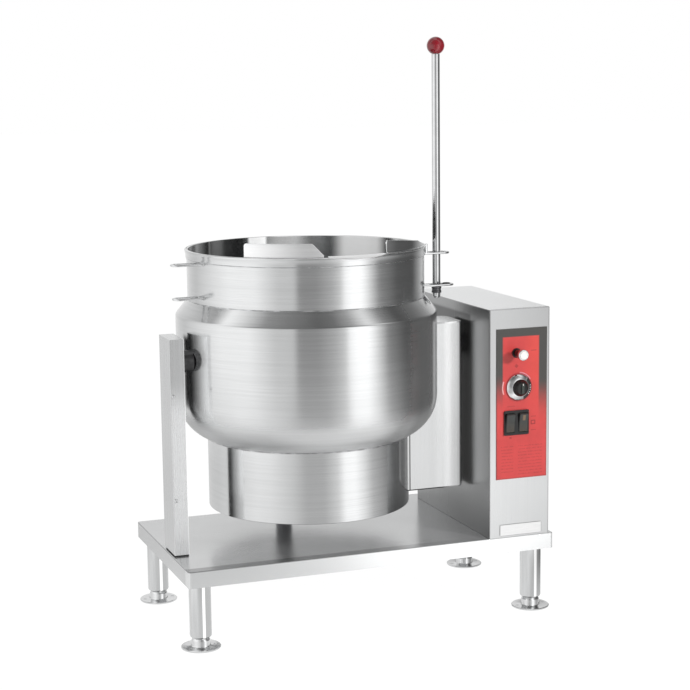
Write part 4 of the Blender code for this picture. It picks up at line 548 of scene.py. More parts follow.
def arc(centre, radius, start, end, steps):
    points = []
    for index in range(steps + 1):
        angle = math.radians(start + (end - start) * index / steps)
        points.append((centre[0] + radius * math.cos(angle), centre[1] + radius * math.sin(angle)))
    return points


def aroundKettle(radius, degrees, height):
    # by the angle from the pouring side, positive towards the console
    angle = math.radians(degrees)
    return kettleAxis + Vector((radius * math.sin(angle), -radius * math.cos(angle), height))


layFront = (math.pi / 2, 0, 0)
layBack = (-math.pi / 2, 0, 0)
layLeft = (0, -math.pi / 2, 0)


# Kettle bowl and rim band

bowl = {"radius": 0.2315, "wall": 0.0029, "rim": 0.7270, "straightEnd": 0.4780, "dish": 0.0980,
        "sides": 160, "dishSteps": 20, "lipSoft": 0.0009}
bowlOut = bowl["radius"]
bowlInside = bowlOut - bowl["wall"]


def dishLine(radius, depth):
    # from the wall down to the middle of the bottom
    turns = [math.radians(step * 90 / bowl["dishSteps"]) for step in range(bowl["dishSteps"] + 1)]
    points = [(radius * math.cos(turn), bowl["straightEnd"] - depth * math.sin(turn)) for turn in turns]
    return points[:-1] + [(0, points[-1][1])]


def shellPiece(name, outline, material, node):
    piece = turnedPiece(name, outline, kettleAxis, bowl["sides"])
    finishPiece(piece, material, "kettle", [node], 30)


lipFoot = bowl["rim"] - bowl["lipSoft"]
outline = dishLine(bowlInside, bowl["dish"] - bowl["wall"])[::-1]
outline += [
    (bowlInside, lipFoot), (bowlInside + bowl["lipSoft"], bowl["rim"]), (bowlOut - bowl["lipSoft"], bowl["rim"]),
    (bowlOut, lipFoot)]
outline += dishLine(bowlOut, bowl["dish"])
shellPiece("bowl_shell", outline, bowlSteel, "kettle_bowl")

band = {"foot": 0.7107, "thick": 0.0016, "flare": 0.0034, "gap": 0.0003, "bend": 0.7180, "shoulder": 0.7225,
        "edgeFoot": 0.7240, "edgeTop": 0.7262}
bandIn = bowlOut + band["gap"]
bandOut = bandIn + band["thick"]
edge = bandIn + band["flare"]
outline = [
    (bandIn, band["foot"]), (bandIn + band["thick"] * 0.6, band["foot"] - 0.0001), (bandOut, band["foot"] + 0.0005),
    (bandOut, band["bend"]), (edge - 0.0004, band["shoulder"]), (edge, band["edgeFoot"]), (edge, band["edgeTop"]),
    (edge - 0.0008, bowl["rim"]), (bandIn, bowl["rim"])]
shellPiece("rim_reinforcing_band", outline, shellSteel, "rim_band")

# Steam jacket, with its weld seams

jacket = {
    "radius": 0.2557, "wall": 0.003, "coneTop": 0.6300, "coneFoot": 0.6008, "coneSoft": 0.010, "insideTop": 0.590,
    "kneeHeight": 0.4380, "knee": 0.0843, "edge": 0.3537, "edgeDrop": 0.0087, "port": 0.045}
kneeCentre = jacket["radius"] - jacket["knee"]
outline = [(bandIn, jacket["coneTop"])]
outline += arc((jacket["radius"] - jacket["coneSoft"], jacket["coneFoot"] - 0.0036), jacket["coneSoft"], 40, 0, 6)
outline += arc((kneeCentre, jacket["kneeHeight"]), jacket["knee"], 0, -90, 24)
for share in (0.8, 0.6, 0.4, jacket["port"] / kneeCentre):
    outline.append((kneeCentre * share, jacket["edge"] - jacket["edgeDrop"] * (1 - share * share)))
outline.append((outline[-1][0], outline[-1][1] + jacket["wall"]))
kneeInside = arc((kneeCentre, jacket["kneeHeight"]), jacket["knee"] - jacket["wall"], -88, 0, 10)
outline += [(radius - jacket["wall"], height) for radius, height in kneeInside]
outline += [(jacket["radius"] - 0.0045, jacket["insideTop"]), (bandIn, jacket["coneTop"] - 0.006)]
shellPiece("jacket_shell", outline, jacketSteel, "steam_jacket")


def weldRing(name, radius, height, size):
    bead = [(-1, -0.9), (0.35, -0.8), (0.8, -0.15), (0.5, 0.6), (-0.2, 1), (-1, 1)]  # in sizes, out and up
    piece = turnedPiece(name, [(radius + size * out, height + size * up) for out, up in bead], kettleAxis, 128)
    return finishPiece(piece, weldSteel, "kettle", (), 80)


weldRing("weld_jacket_top", bowlOut + 0.0006, jacket["coneTop"] + 0.0002, 0.0009)
weldRing("weld_rim_band", bowlOut + 0.0004, band["foot"] - 0.0005, 0.0010)

# Skirt below the jacket

skirt = {"radius": 0.1983, "sheet": 0.0015, "bottom": 0.2209, "top": 0.3580, "hem": 0.0007}
wide, low, high, hem = skirt["radius"], skirt["bottom"], skirt["top"], skirt["hem"]
outline = [
    (wide - skirt["sheet"], low + hem), (wide - hem, low), (wide, low + hem), (wide, high),
    (wide - skirt["sheet"], high)]
shellPiece("skirt_shell", outline, skirtSteel, "element_skirt")
kneeShare = (wide - kneeCentre) / jacket["knee"]
skirtJoint = jacket["kneeHeight"] - jacket["knee"] * math.sin(math.acos(kneeShare))
weldRing("weld_skirt", wide + 0.0004, skirtJoint - 0.0006, 0.0014)
outline = [
    (0, 0.2229), (0.1940, 0.2229), (0.1964, 0.2245), (0.1964, 0.2349), (0.1949, 0.2349), (0.1949, 0.2250),
    (0.1935, 0.2244), (0, 0.2244)]
piece = turnedPiece("skirt_floor", outline, kettleAxis, 96)
finishPiece(piece, sheetAlongX, "kettle", ["skirt_bottom_cover"])
print("kettle shells made")

# Pouring lip and guards

lip = {"start": -8.5, "end": 20.5, "thick": 0.0024, "edgeReach": 0.008, "tipReach": 0.024, "droop": 0.004,
       "seat": 0.7273, "knee": 0.2355}


def lipRule(across, along):
    swell = math.sin(math.pi * along)
    reach = lip["edgeReach"] + (lip["tipReach"] - lip["edgeReach"]) * swell
    radius = bowlInside + (bowlOut + reach - bowlInside) * across
    past = max(0.0, (radius - lip["knee"]) / (bowlOut + lip["tipReach"] - lip["knee"]))
    height = lip["seat"] + lip["thick"] - lip["droop"] * past ** 1.3
    return aroundKettle(radius, lip["start"] + (lip["end"] - lip["start"]) * along, height)


curvedSheet("pouring_lip", (10, 28), lipRule, lip["thick"], -1, 0.0007, 3, guardSteelPaintedPale, ["pour_lip"])

guard = {"tall": 0.026, "plate": 0.0029, "corner": 0.005, "foot": 0.0045,
         "left": {"start": -48, "full": -15.5, "end": -10.5, "fall": 0.0},
         "right": {"start": 21.5, "full": 49, "end": 59, "fall": 0.45}}


def guardPlate(name, sides, node, material):
    start, full, end = sides["start"], sides["full"], sides["end"]
    corner = math.degrees(guard["corner"] / bowlOut)

    def rule(across, along):
        past = (end - start) * along
        top = 1 - sides["fall"] * min(1.0, past / (full - start))
        if past < corner:
            share = 1 - past / corner
            top = 1 - guard["corner"] / guard["tall"] * (1 - math.sqrt(max(0.0, 1 - share * share)))
        if start + past > full:
            top *= max(0.04, 1 - (start + past - full) / (end - full))
        height = (guard["foot"] + (guard["tall"] - guard["foot"]) * top) * across
        return aroundKettle(bowlOut, start + past, lip["seat"] + height)

    curvedSheet(name, (6, 72), rule, guard["plate"], 1, 0.0006, 2, material, [node])


guardPlate("splash_guard_left", guard["left"], "pour_guard_left", guardSteelPaintedPale)
guardPlate("splash_guard_right", guard["right"], "pour_guard_right", shellSteel)


def ledgeRule(across, along):
    sides = guard["right"]
    degrees = sides["start"] + (sides["end"] - sides["start"]) * along
    return aroundKettle(bowlOut + 0.0003 + 0.0032 * across, degrees, lip["seat"] + 0.0042 - 0.0012 * across)


curvedSheet("guard_ledge_right", (3, 40), ledgeRule, 0.0028, -1, 0.0005, 2, shellSteel)
print("lip and guards made")

# Handle loops on the wall

loop = {"slot": 0.0084, "bar": 0.0058, "thick": 0.0042, "sunk": 0.0014,
        "heights": {"upper": 0.7074, "lower": 0.6434},
        "reaches": {"upper_left": 0.058, "lower_left": 0.056, "upper_right": 0.056, "lower_right": 0.0652}}
lineOffset = tiltLine.y - kettleAxis.y


def wallAt(deep, sunk=0.0):
    # how far the wall is to the side, so deep behind the tilting line
    return math.sqrt(bowlOut ** 2 - (lineOffset + deep) ** 2) - sunk


def handleLoop(level, name, side):
    slot, sunk = loop["slot"], loop["sunk"]
    outer = slot + loop["bar"]
    centre = wallAt(0) + loop["reaches"][level + "_" + name] - outer
    low = loop["heights"][level] - loop["thick"] / 2
    plan = [(wallAt(-outer, sunk), -outer)] + arc((centre, 0), outer, -90, 90, 24)
    plan += [(wallAt(outer, sunk), outer), (wallAt(slot, sunk), slot)]
    plan += arc((centre, 0), slot, 90, -90, 18) + [(wallAt(-slot, sunk), -slot)]
    points = [(kettleAxis.x + side * across, tiltLine.y + deep, low) for across, deep in plan]
    piece = platePiece(level + "_loop_" + name, points, (0, 0, loop["thick"]))
    soften(piece, 0.0018, 4, 50)
    finishPiece(piece, chrome, "kettle", ["handle_loop_" + level + "_" + name], 60)
    for arm in (-1, 1):  # weld collars where the bar meets the wall
        middle = arm * (slot + loop["bar"] / 2)
        across = wallAt(middle)
        startClean()
        bpy.ops.mesh.primitive_uv_sphere_add(segments=24, ring_count=12, radius=1)
        bead = newest(f"weld_{level}_{name}_{'near' if arm < 0 else 'far'}")
        bead.scale = (0.0020, 0.0042, 0.0034)
        bead.rotation_euler = (0, 0, math.atan2(lineOffset + middle, side * across))
        bead.location = (kettleAxis.x + side * across, tiltLine.y + middle, loop["heights"][level])
        finishPiece(applyPlace(bead), weldSteel, "kettle", (), 80)


for level in loop["heights"]:
    handleLoop(level, "left", -1)
    handleLoop(level, "right", 1)

tabWall = kettleAxis.x + wallAt(0)
tab = blockPiece("loop_tab", (tabWall + 0.001, tiltLine.y - 0.0142, loop["heights"]["upper"]),
                 (tabWall + 0.0052, tiltLine.y - 0.0084, bowl["rim"]), 0.0008, 3)
finishPiece(tab, chrome, "kettle", (), 40)
tip = tabWall + loop["reaches"]["lower_right"] - loop["slot"] - loop["bar"]
outline = [(0, 0.6409), (0.0066, 0.6409), (0.0078, 0.6420), (0.0078, 0.6458), (0.0070, 0.6466), (0, 0.6466)]
piece = turnedPiece("loop_tip_plug", outline, (tip, tiltLine.y, 0), 40)
finishPiece(piece, rubber, "kettle", (), 40)
print("handle loops made")

# Tilt handle: rod, pin, collar and ball

rod = {
    "x": 0.1870, "radius": 0.008, "bottom": 0.6170, "top": 1.0940, "pinHeight": 0.6478, "pinRadius": 0.002,
    "pinLength": 0.024, "collarLow": 0.6280, "collarHigh": 0.6410, "collar": 0.0098, "ball": 0.0173,
    "ballSeat": 1.0943, "ballFlat": 0.008}
rodPlace = (rod["x"], tiltLine.y, 0)
low, high, wide = rod["bottom"], rod["top"], rod["radius"]
outline = [
    (0, low), (0.0025, low), (0.0055, low + 0.0012), (0.0073, low + 0.0034), (wide, low + 0.0065),
    (wide, high - 0.0005), (wide - 0.0005, high), (0.005, high), (0.005, high + 0.015), (0, high + 0.015)]
piece = turnedPiece("handle_rod", outline, rodPlace, 64)
rodSteel = polishedSteel("rod_bright_steel", (0.72, 0.725, 0.73), 0.08)
finishPiece(piece, rodSteel, "kettle", ["tilt_handle_rod"])
half, wide = rod["pinLength"] / 2, rod["pinRadius"]
outline = [
    (0, -half), (wide - 0.0004, -half), (wide, 0.0004 - half), (wide, half - 0.0004), (wide - 0.0004, half),
    (0, half)]
piece = turnedPiece("handle_cross_pin", outline, (rod["x"], tiltLine.y, rod["pinHeight"]), 24, layBack)
finishPiece(piece, darkSteel, "kettle", ["handle_pin"])
low, high, wide = rod["collarLow"], rod["collarHigh"], rod["collar"]
outline = [
    (0.0083, low), (wide - 0.0006, low), (wide, low + 0.0006), (wide, low + 0.0036), (wide - 0.0009, low + 0.0045),
    (wide - 0.0009, high - 0.0045), (wide, high - 0.0036), (wide, high - 0.0006), (wide - 0.0006, high),
    (0.0083, high)]
piece = turnedPiece("handle_clamp_collar", outline, rodPlace, 48)
finishPiece(piece, darkSteel, "kettle", ["handle_collar"])
ball, seat = rod["ball"], rod["ballSeat"]
flat = math.asin(rod["ballFlat"] / ball)
turns = [flat + (math.pi - flat) * step / 24 for step in range(24)]
centre = seat + ball * math.cos(flat)
outline = [(0.0053, seat)] + [(ball * math.sin(turn), centre - ball * math.cos(turn)) for turn in turns]
outline += [(0, centre + ball), (0, 1.1093), (0.0053, 1.1093), (0.0053, seat)]
piece = turnedPiece("handle_ball_grip", outline, rodPlace, 48)
finishPiece(piece, redGloss, "kettle", ["handle_ball"])
print("tilt handle made")

# Trunnions: the left stub on its round pad

pad = {"radius": 0.0210, "face": 0.33685, "tip": 0.3659, "stub": 0.01905, "root": 0.3165}
wide, stub, face, tip = pad["radius"], pad["stub"], pad["face"], pad["tip"]
outline = [
    (0, pad["root"]), (wide, pad["root"]), (wide, face - 0.001), (wide - 0.001, face), (stub + 0.002, face),
    (stub, face + 0.002), (stub, tip - 0.0008), (stub - 0.0008, tip), (0, tip)]
piece = turnedPiece("left_trunnion_stub", outline, tiltLine, 64, layLeft)
# painted shade: the stub is nearly black, for the shade between the post and the jacket
stubSteelPaintedDark = machinedSteel("trunnion_steel_painted_dark", (0.1, 0.1, 0.102), 0.35)
finishPiece(piece, stubSteelPaintedDark, "kettle", ["trunnion_left"])

# Legs and screw feet

leg = {"x": 0.34125, "front": -0.18455, "rear": 0.13955, "radius": 0.02065, "inside": 0.01905, "bottom": 0.021,
       "top": 0.1548, "plate": 0.0265, "plateFoot": 0.1518, "bore": 0.0083, "insertTop": 0.037}
foot = {"flange": 0.0375, "thick": 0.0035, "hub": 0.0178, "neck": 0.0150, "hubTop": 0.0195, "stem": 0.008,
        "stemTop": 0.078, "hole": 0.0032, "holeAt": 0.0285}
wide, low = leg["radius"], leg["bottom"]
legLine = [
    (leg["bore"], low), (wide - 0.0030, low), (wide - 0.0010, low + 0.0012), (wide, low + 0.0036),
    (wide, leg["plateFoot"]), (leg["plate"], leg["plateFoot"]), (leg["plate"], leg["top"]),
    (leg["inside"], leg["top"]), (leg["inside"], leg["insertTop"]), (leg["bore"], leg["insertTop"])]
wide, thick, hub = foot["flange"], foot["thick"], foot["hub"]
footLine = [
    (0, 0), (wide - 0.0008, 0), (wide, 0.0008), (wide, thick - 0.0009), (wide - 0.0012, thick),
    (hub + 0.0025, thick), (hub + 0.0008, thick + 0.0007), (hub, thick + 0.0025), (hub, 0.0145),
    (hub - 0.0008, 0.0165), (foot["neck"], foot["hubTop"]), (foot["stem"], foot["hubTop"]),
    (foot["stem"], foot["stemTop"]), (0, foot["stemTop"])]
for front in ("front", "rear"):
    for hand, side in (("left", -1), ("right", 1)):
        place = Vector((side * leg["x"], leg[front], 0))
        piece = turnedPiece(f"leg_tube_{front}_{hand}", legLine, place, 64)
        tube = tubeSteel(f"leg_tube_{front}_{hand}", place)
        finishPiece(piece, tube, "stand", [f"leg_{front}_{hand}"])
        piece = turnedPiece(f"screw_foot_{front}_{hand}", footLine, place, 64)
        for hole in (-1, 1):
            drill = turnedPiece("drill", [(0, -0.002), (foot["hole"], -0.002), (foot["hole"], 0.008), (0, 0.008)],
                                place + Vector((hole * foot["holeAt"], 0, 0)), 24)
            cutWith(piece, drill)
        finishPiece(piece, chrome, f"{front}_{hand}_foot", [f"foot_{front}_{hand}"])
print("legs and feet made")

# Post: gasket under its front foot, and two round-headed screws on its front

gasket = blockPiece("post_foot_gasket", (-0.3683, -0.1136, 0.1575), (-0.3413, -0.1040, 0.1600), 0.0004)
finishPiece(gasket, rubber, "stand", (), 40)


def screwHead(name, outline, place, sides, turn):
    piece = turnedPiece(name, outline, place, sides, turn)
    finishPiece(piece, chrome, "stand", (), 40)


outline = [
    (0, -0.002), (0.0018, -0.002), (0.0018, 0.0001), (0.0036, 0.0001), (0.0034, 0.0009), (0.0026, 0.0017),
    (0.0012, 0.0021), (0.0008, 0.0021), (0.0008, 0.0012), (0, 0.0012)]
for number, height in enumerate((0.4665, 0.2663), 1):
    screwHead(f"post_screw_{number}", outline, (-0.3635, -0.11345, height), 32, layFront)
print("post trimmed")

# Console back: cover screws

backFace = 0.14185
outline = [
    (0, -0.001), (0.0034, -0.001), (0.0034, 0.0010), (0.0026, 0.0019), (0.0012, 0.0022), (0.0009, 0.0022),
    (0.0009, 0.0012), (0, 0.0012)]
for across in (0.2425, 0.3535):
    for height in (0.1850, 0.3850, 0.5900):
        name = f"cover_screw_{round(across * 1e4)}_{round(height * 1e4)}"
        screwHead(name, outline, (across, backFace + 0.0002, height), 24, layBack)
print("console back trimmed")

# Control panel pieces

panelFace = -0.22445
lamp = {"x": 0.2900, "z": 0.5220, "stem": 0.0072, "stemLong": 0.024, "head": 0.0104, "headLong": 0.009,
        "lens": 0.0085, "lensRise": 0.003}
stem, head, lens, tip = lamp["stemLong"], lamp["head"], lamp["lens"], lamp["stemLong"] + lamp["headLong"]
outline = [
    (0, -0.02), (lamp["stem"], -0.02), (lamp["stem"], stem), (head - 0.0006, stem + 0.0014), (head, stem + 0.0024),
    (head, tip - 0.0008), (head - 0.0008, tip), (lens + 0.0003, tip), (lens + 0.0003, tip - 0.0045),
    (0, tip - 0.0045)]
lampPlace = (lamp["x"], panelFace, lamp["z"])
piece = turnedPiece("pilot_lamp_bezel", outline, lampPlace, 48, layFront)
look = Finish("pilot_lamp_metal", Metallic=1.0)
x, y, z = look.place()
scratch = look.noise((0.004, 0.001, 0.004), 3.0)
# painted reflection: the stem is painted dark red, as the red panel would show in it
stemPart = y.past(panelFace - stem, -0.0004, 0.0006)
colour = look.mix(scratch.step(0.3, 0.7), (0.70, 0.705, 0.71, 1), (0.8, 0.805, 0.81, 1))
look.set(Base_Color=look.mix(stemPart, colour, (0.10, 0.08, 0.08, 1)), Roughness=0.12 + scratch * 0.08,
         Normal=look.bump(scratch, 0.03))
finishPiece(piece, look.material, "stand", ["lamp_bezel"])
turns = [math.radians(degrees) for degrees in range(10, 90, 10)]
outline = [(0, tip - 0.0042), (lens, tip - 0.0042), (lens, tip)]
outline += [(lens * math.cos(turn), tip + lamp["lensRise"] * math.sin(turn)) for turn in turns]
outline += [(0, tip + lamp["lensRise"])]
piece = turnedPiece("pilot_lamp_lens", outline, lampPlace, 48, layFront)
finishPiece(piece, lampWhite, "stand", ["lamp_lens"], 60)
outline = [(0.0073, 0.0001), (0.0094, 0.0001), (0.0094, 0.0022), (0.0088, 0.0030), (0.0073, 0.0030)]
piece = turnedPiece("pilot_lamp_nut", outline, lampPlace, 40, layFront)
finishPiece(piece, blackPlastic, "stand", (), 40)

knob = {"x": 0.2950, "z": 0.4544, "skirt": 0.0265, "grip": 0.0168, "gripTip": 0.0120, "gripLong": 0.009,
        "gripFoot": 0.0093, "bore": 0.0035, "bar": 0.0065, "barLong": 0.021}
look = Finish("dial_skirt_chrome_and_print")
x, y, z = look.place((knob["x"], 0, knob["z"]))
reach = (x * x + z * z) ** 0.5
angle = look.around(z, -x)
printed = angle.band(-78, -66, 42, 58) * reach.step(0.0178, 0.0186)
tooth = x.maths("FRACT", angle / 11)
marks = printed * tooth.step(0.66, 0.74) * reach.band(0.0206, 0.0211, 0.0240, 0.0245)
marks = marks * angle.band(-44, -40, 14, 18)
cloud = look.noise(0.01, 3.0)
colour = look.mix(cloud.step(0.3, 0.7), (0.72, 0.725, 0.73, 1), (0.8, 0.805, 0.81, 1))
colour = look.mix(printed, colour, (0.03, 0.034, 0.033, 1))
look.set(Base_Color=look.mix(marks, colour, grey(0.85)), Metallic=1 - printed * 0.9,
         Roughness=0.1 + printed * 0.25 + cloud * 0.05, Normal=look.bump(cloud, 0.03))
knobPlace = (knob["x"], panelFace, knob["z"])
wide, grip, bore = knob["skirt"], knob["grip"], knob["bore"]
outline = [
    (bore, 0.0003), (wide - 0.0004, 0.0003), (wide, 0.0008), (wide, 0.0020), (wide - 0.0008, 0.0034),
    (wide - 0.0035, 0.0056), (grip + 0.0025, 0.0078), (grip + 0.0008, 0.0087), (grip, 0.009), (bore, 0.009)]
piece = turnedPiece("dial_skirt", outline, knobPlace, 72, layFront)
finishPiece(piece, look.material, "dial", ["knob_skirt"], 50)
look = Finish("dial_grip_black")
x, y, z = look.place()
grit = look.noise(0.0008, 3.0)
colour = look.mix(grit.step(0.3, 0.7), grey(0.003), grey(0.006))
# painted sheen: the front face is a paler greenish grey
colour = look.mix(1 - y.step(-0.2445, -0.2425), colour, (0.035, 0.043, 0.038, 1))
look.set(Base_Color=colour, Roughness=0.34 + grit * 0.08, Normal=look.bump(grit, 0.06, 0.0002))
low, top, tip = knob["gripFoot"], knob["gripFoot"] + knob["gripLong"], knob["gripTip"]
outline = [
    (bore, low), (grip - 0.0004, low), (grip, 0.0098), (tip + 0.0006, top - 0.0022), (tip - 0.0001, top - 0.0007),
    (tip - 0.0014, top), (0, top), (0, top - 0.004), (bore, top - 0.004)]
piece = turnedPiece("dial_grip", outline, knobPlace, 64, layFront)


def dialBlock(name, width, low, high, foot, rise, *soft):
    # on the dial's face, upright
    return blockPiece(name, (knob["x"] - width / 2, panelFace - top - rise, knob["z"] + low),
                      (knob["x"] + width / 2, panelFace - top - foot, knob["z"] + high), *soft)


bar = dialBlock("dial_bar", knob["bar"], -knob["barLong"] / 2, knob["barLong"] / 2, -0.001, 0.003, 0.0016, 4)
cutWith(piece, bar, "UNION")
finishPiece(piece, look.material, "dial", ["knob_grip"], 40)
mark = dialBlock("dial_pointer", 0.0012, 0.0060, 0.0098, 0.0026, 0.0032, 0.0002)
finishPiece(mark, lampWhite, "dial")
print("control panel pieces made")

# CAD nodes that stay as they are, with better materials

deepBlack = plastic("moulded_deep_black", (0.004, 0.004, 0.004), 0.3)


def rockerBlack(name, middle, window):
    # each rocker's face is painted paler, brownish low and greyer high, as a painted sheen; the right one has a
    # small amber window
    look = Finish(name)
    x, y, z = look.place((middle, 0, 0.38525))
    grit = look.noise(0.0008, 3.0)
    face = look.inside(x, z, -0.0078, 0.0086, -0.0200, 0.0195, 0.0006)
    pane = look.inside(x, z, -0.0022, 0.0036, 0.0040, 0.0150, 0.0012)
    colour = look.mix(grit.step(0.3, 0.7), grey(0.004), grey(0.008))
    faceTone = look.mix(z.step(-0.02, 0.01), (0.050, 0.040, 0.030, 1), (0.040, 0.044, 0.042, 1))
    colour = look.mix(face, colour, faceTone)
    colour = look.mix(pane * window, colour, (0.20, 0.13, 0.08, 1))
    look.set(Base_Color=colour, Roughness=0.3 + grit * 0.1, Normal=look.bump(grit, 0.06, 0.0002))
    return look.material


look = Finish("name_plate_silver", Metallic=0.6)
x, y, z = look.place()
rim = 1 - look.inside(x, z, 0.2568, 0.3447, 0.1612, 0.1822, 0.0004)
grit = look.noise((0.02, 0.0005, 0.0005), 3.0)
colour = look.mix(grit.step(0.3, 0.7), grey(0.84), grey(0.92))
look.set(Base_Color=look.mix(rim * 0.8, colour, grey(0.25)), Roughness=0.4 + grit * 0.1,
         Normal=look.bump(grit, 0.04, 0.0002))

dressed = {
    "stand_table": tableSteel, "post_cover": postSteel, "post_upright": postSteel, "console_shell": consoleSteel,
    "console_rear_cover": sheetUpright, "component_plate": sheetUpright, "name_plate": look.material,
    "left_bearing": darkSteel, "right_bearing": darkSteel, "left_bushing": bronze, "right_bushing": bronze,
    "console_upright": darkSteel, "cable_gland": blackPlastic, "contactor": blackPlastic,
    "terminal_block": greyPlastic, "thermostat_body": greyPlastic, "thermostat_shaft": darkSteel,
    "kettle_rest": darkSteel, "rest_bumper": rubber, "switch_frame": deepBlack,
    "rocker_left": rockerBlack("rocker_left_moulding", 0.275875, 0.0),
    "rocker_right": rockerBlack("rocker_right_moulding", 0.303625, 0.9), "trunnion_housing": housingSteel,
    "heating_element": darkSteel, "element_flange": darkSteel, "trunnion_right": darkSteel,
    "safety_valve": brass, "safety_valve_lever": chrome, "pressure_gauge": chrome}


def dress(node, material):
    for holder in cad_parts[node].material_slots:
        holder.material = material


for node, material in dressed.items():
    dress(node, material)

panel = {"left": 0.2478, "right": 0.3556, "bottom": 0.2739, "top": 0.5695, "red": (0.59, 0.057, 0.055),
         "frame": (0.060, 0.058, 0.054), "frameLeft": 0.2615, "frameRight": 0.3381, "frameTop": 0.5535}
look = Finish("printed_red_overlay")
x, y, z = look.place()
wave = look.noise(0.03, 3.0, 0.55)
grit = look.noise(0.0006)
leftFrame = 1 - x.past(panel["frameLeft"], -0.0016, 0.0012)
rightFrame = x.past(panel["frameRight"], -0.0012, 0.0016)
topFrame = z.past(panel["frameTop"], -0.0012, 0.0012)
frameMask = topFrame.most(leftFrame * z.step(0.402, 0.485)).most(rightFrame * z.step(0.385, 0.470))
outer = (x - panel["left"]).least(panel["right"] - x).least(z - panel["bottom"]).least(panel["top"] - z)
margin = 1 - outer.step(0.0012, 0.0026)
red = look.tones(wave.step(0.3, 0.7), panel["red"], 0.93, 1.05)
red = look.mix(z.step(0.34, 0.50) * x.step(0.30, 0.33) * 0.5, red, (0.72, 0.075, 0.055, 1))
colour = look.mix(margin * 0.45, red, (0.18, 0.05, 0.05, 1))
colour = look.mix(frameMask, colour, (*panel["frame"], 1))
across, rise = x - knob["x"], z - knob["z"]
reach = (across * across + rise * rise) ** 0.5
angle = look.around(rise, -across)
leftArc = reach.band(0.0325, 0.0330, 0.0350, 0.0356) * abs(angle).step(157, 160)
rightArc = reach.band(0.0275, 0.0280, 0.0294, 0.0300) * angle.band(28, 33, 82, 88)
colour = look.mix(leftArc * 0.75, colour, (0.85, 0.45, 0.45, 1))
colour = look.mix(rightArc * 0.7, colour, (0.8, 0.42, 0.5, 1))
# painted shade on the red just around the dial
colour = look.mix((1 - reach.step(0.0268, 0.0300)) * 0.5, colour, (0.22, 0.03, 0.04, 1))

# plain printed marks: lines by left, right, low, high and strength, a diamond, frames, and rows without letters
strokes = [
    (0.3215, 0.3330, 0.5243, 0.5258, 0.5), (0.2703, 0.2874, 0.4168, 0.4180, 0.35),
    (0.3215, 0.3325, 0.3940, 0.3955, 0.4), (0.3215, 0.3325, 0.3672, 0.3687, 0.4)]
slant = abs(x - 0.2903) + abs(z - 0.4962)
marks = (1 - slant.step(0.0040, 0.0048)) * 0.4
for left, right, low, high, strength in strokes:
    marks = marks.most(look.inside(x, z, left, right, low, high) * strength)
boxed = look.inside(x, z, 0.3214, 0.3312, 0.3790, 0.3875) - look.inside(x, z, 0.3232, 0.3294, 0.3808, 0.3857)
marks = marks.most(boxed * 0.6).most(look.inside(x, z, 0.2758, 0.2805, 0.3535, 0.3570, 0.0008) * 0.45)
rowMask = x.maths("FRACT", z / 0.0062).band(0.30, 0.42, 0.62, 0.74)
worn = look.noise((0.004, 0.004, 0.0031), 2.0, 0.6).step(0.35, 0.6)
zones = look.inside(x, z, 0.2577, 0.2840, 0.2850, 0.3420) + look.inside(x, z, 0.2942, 0.3465, 0.2790, 0.3400)
marks = marks.most(zones * rowMask * worn * 0.3)
colour = look.mix(marks, colour, (0.10, 0.012, 0.014, 1))
colour = look.mix(y.step(-0.2243, -0.2240), colour, grey(0.10))
look.set(Base_Color=colour, Roughness=0.42 + (wave - 0.5) * 0.1, Normal=look.bump(grit, 0.06, 0.0002))
dress("control_overlay", look.material)
print("overlay printed")

look = Finish("gauge_glass_clear", Transmission_Weight=1.0, IOR=1.45)
dust = look.noise(0.01, 3.0, 0.6)
look.set(Base_Color=look.mix(dust, (0.93, 0.96, 0.96, 1), (0.98, 1, 1, 1)), Roughness=0.02 + dust * 0.05)
dress("gauge_glass", look.material)
print("nodes dressed")

# Studio: floor, glossy-only wall of soft cards, world, lamps and camera

studio = {
    "radius": 1.5, "height": 6.0, "middleHeight": 0.5, "highFrom": 1.0, "highTo": 1.9,
    # brightness of the cards by the angle from the front, near the floor, at mid height and overhead
    "foot": [(-180, 0.75), (-135, 0.8), (-93, 1.0), (-75, 1.1), (-60, 1.05), (-36, 0.8), (-21, 0.55), (-3, 0.55),
             (12, 0.85), (20, 1.35), (31, 1.4), (42, 1.05), (53, 0.6), (78, 0.25), (105, 0.15), (135, 0.3),
             (180, 0.75)],
    "middle": [(-180, 0.9), (-142, 0.7), (-113, 1.0), (-92, 1.2), (-65, 1.2), (-43, 0.75), (-29, 0.75), (-25, 0.33),
               (-10, 0.35), (4, 0.55), (12, 0.8), (15, 1.3), (22, 1.5), (31, 1.5), (36, 1.2), (42, 0.75), (50, 0.3),
               (72, 0.12), (98, 0.1), (122, 0.6), (140, 0.85), (180, 0.9)],
    "high": [(-180, 0.9), (-131, 0.4), (-122, 0.4), (-110, 1.3), (-88, 0.75), (-72, 0.35), (-41, 0.25), (-4, 0.15),
             (19, 0.2), (38, 0.45), (54, 1.1), (68, 0.3), (82, 0.1), (120, 0.2), (150, 0.85), (180, 0.9)]}


def cardStops(zone):
    return [((angle + 180) / 360, grey(value / 2)) for angle, value in studio[zone]]


def forMirrors(piece):
    # only glossy rays see the piece
    piece.visible_camera = False
    piece.visible_diffuse = False
    piece.visible_shadow = False
    piece.visible_transmission = False


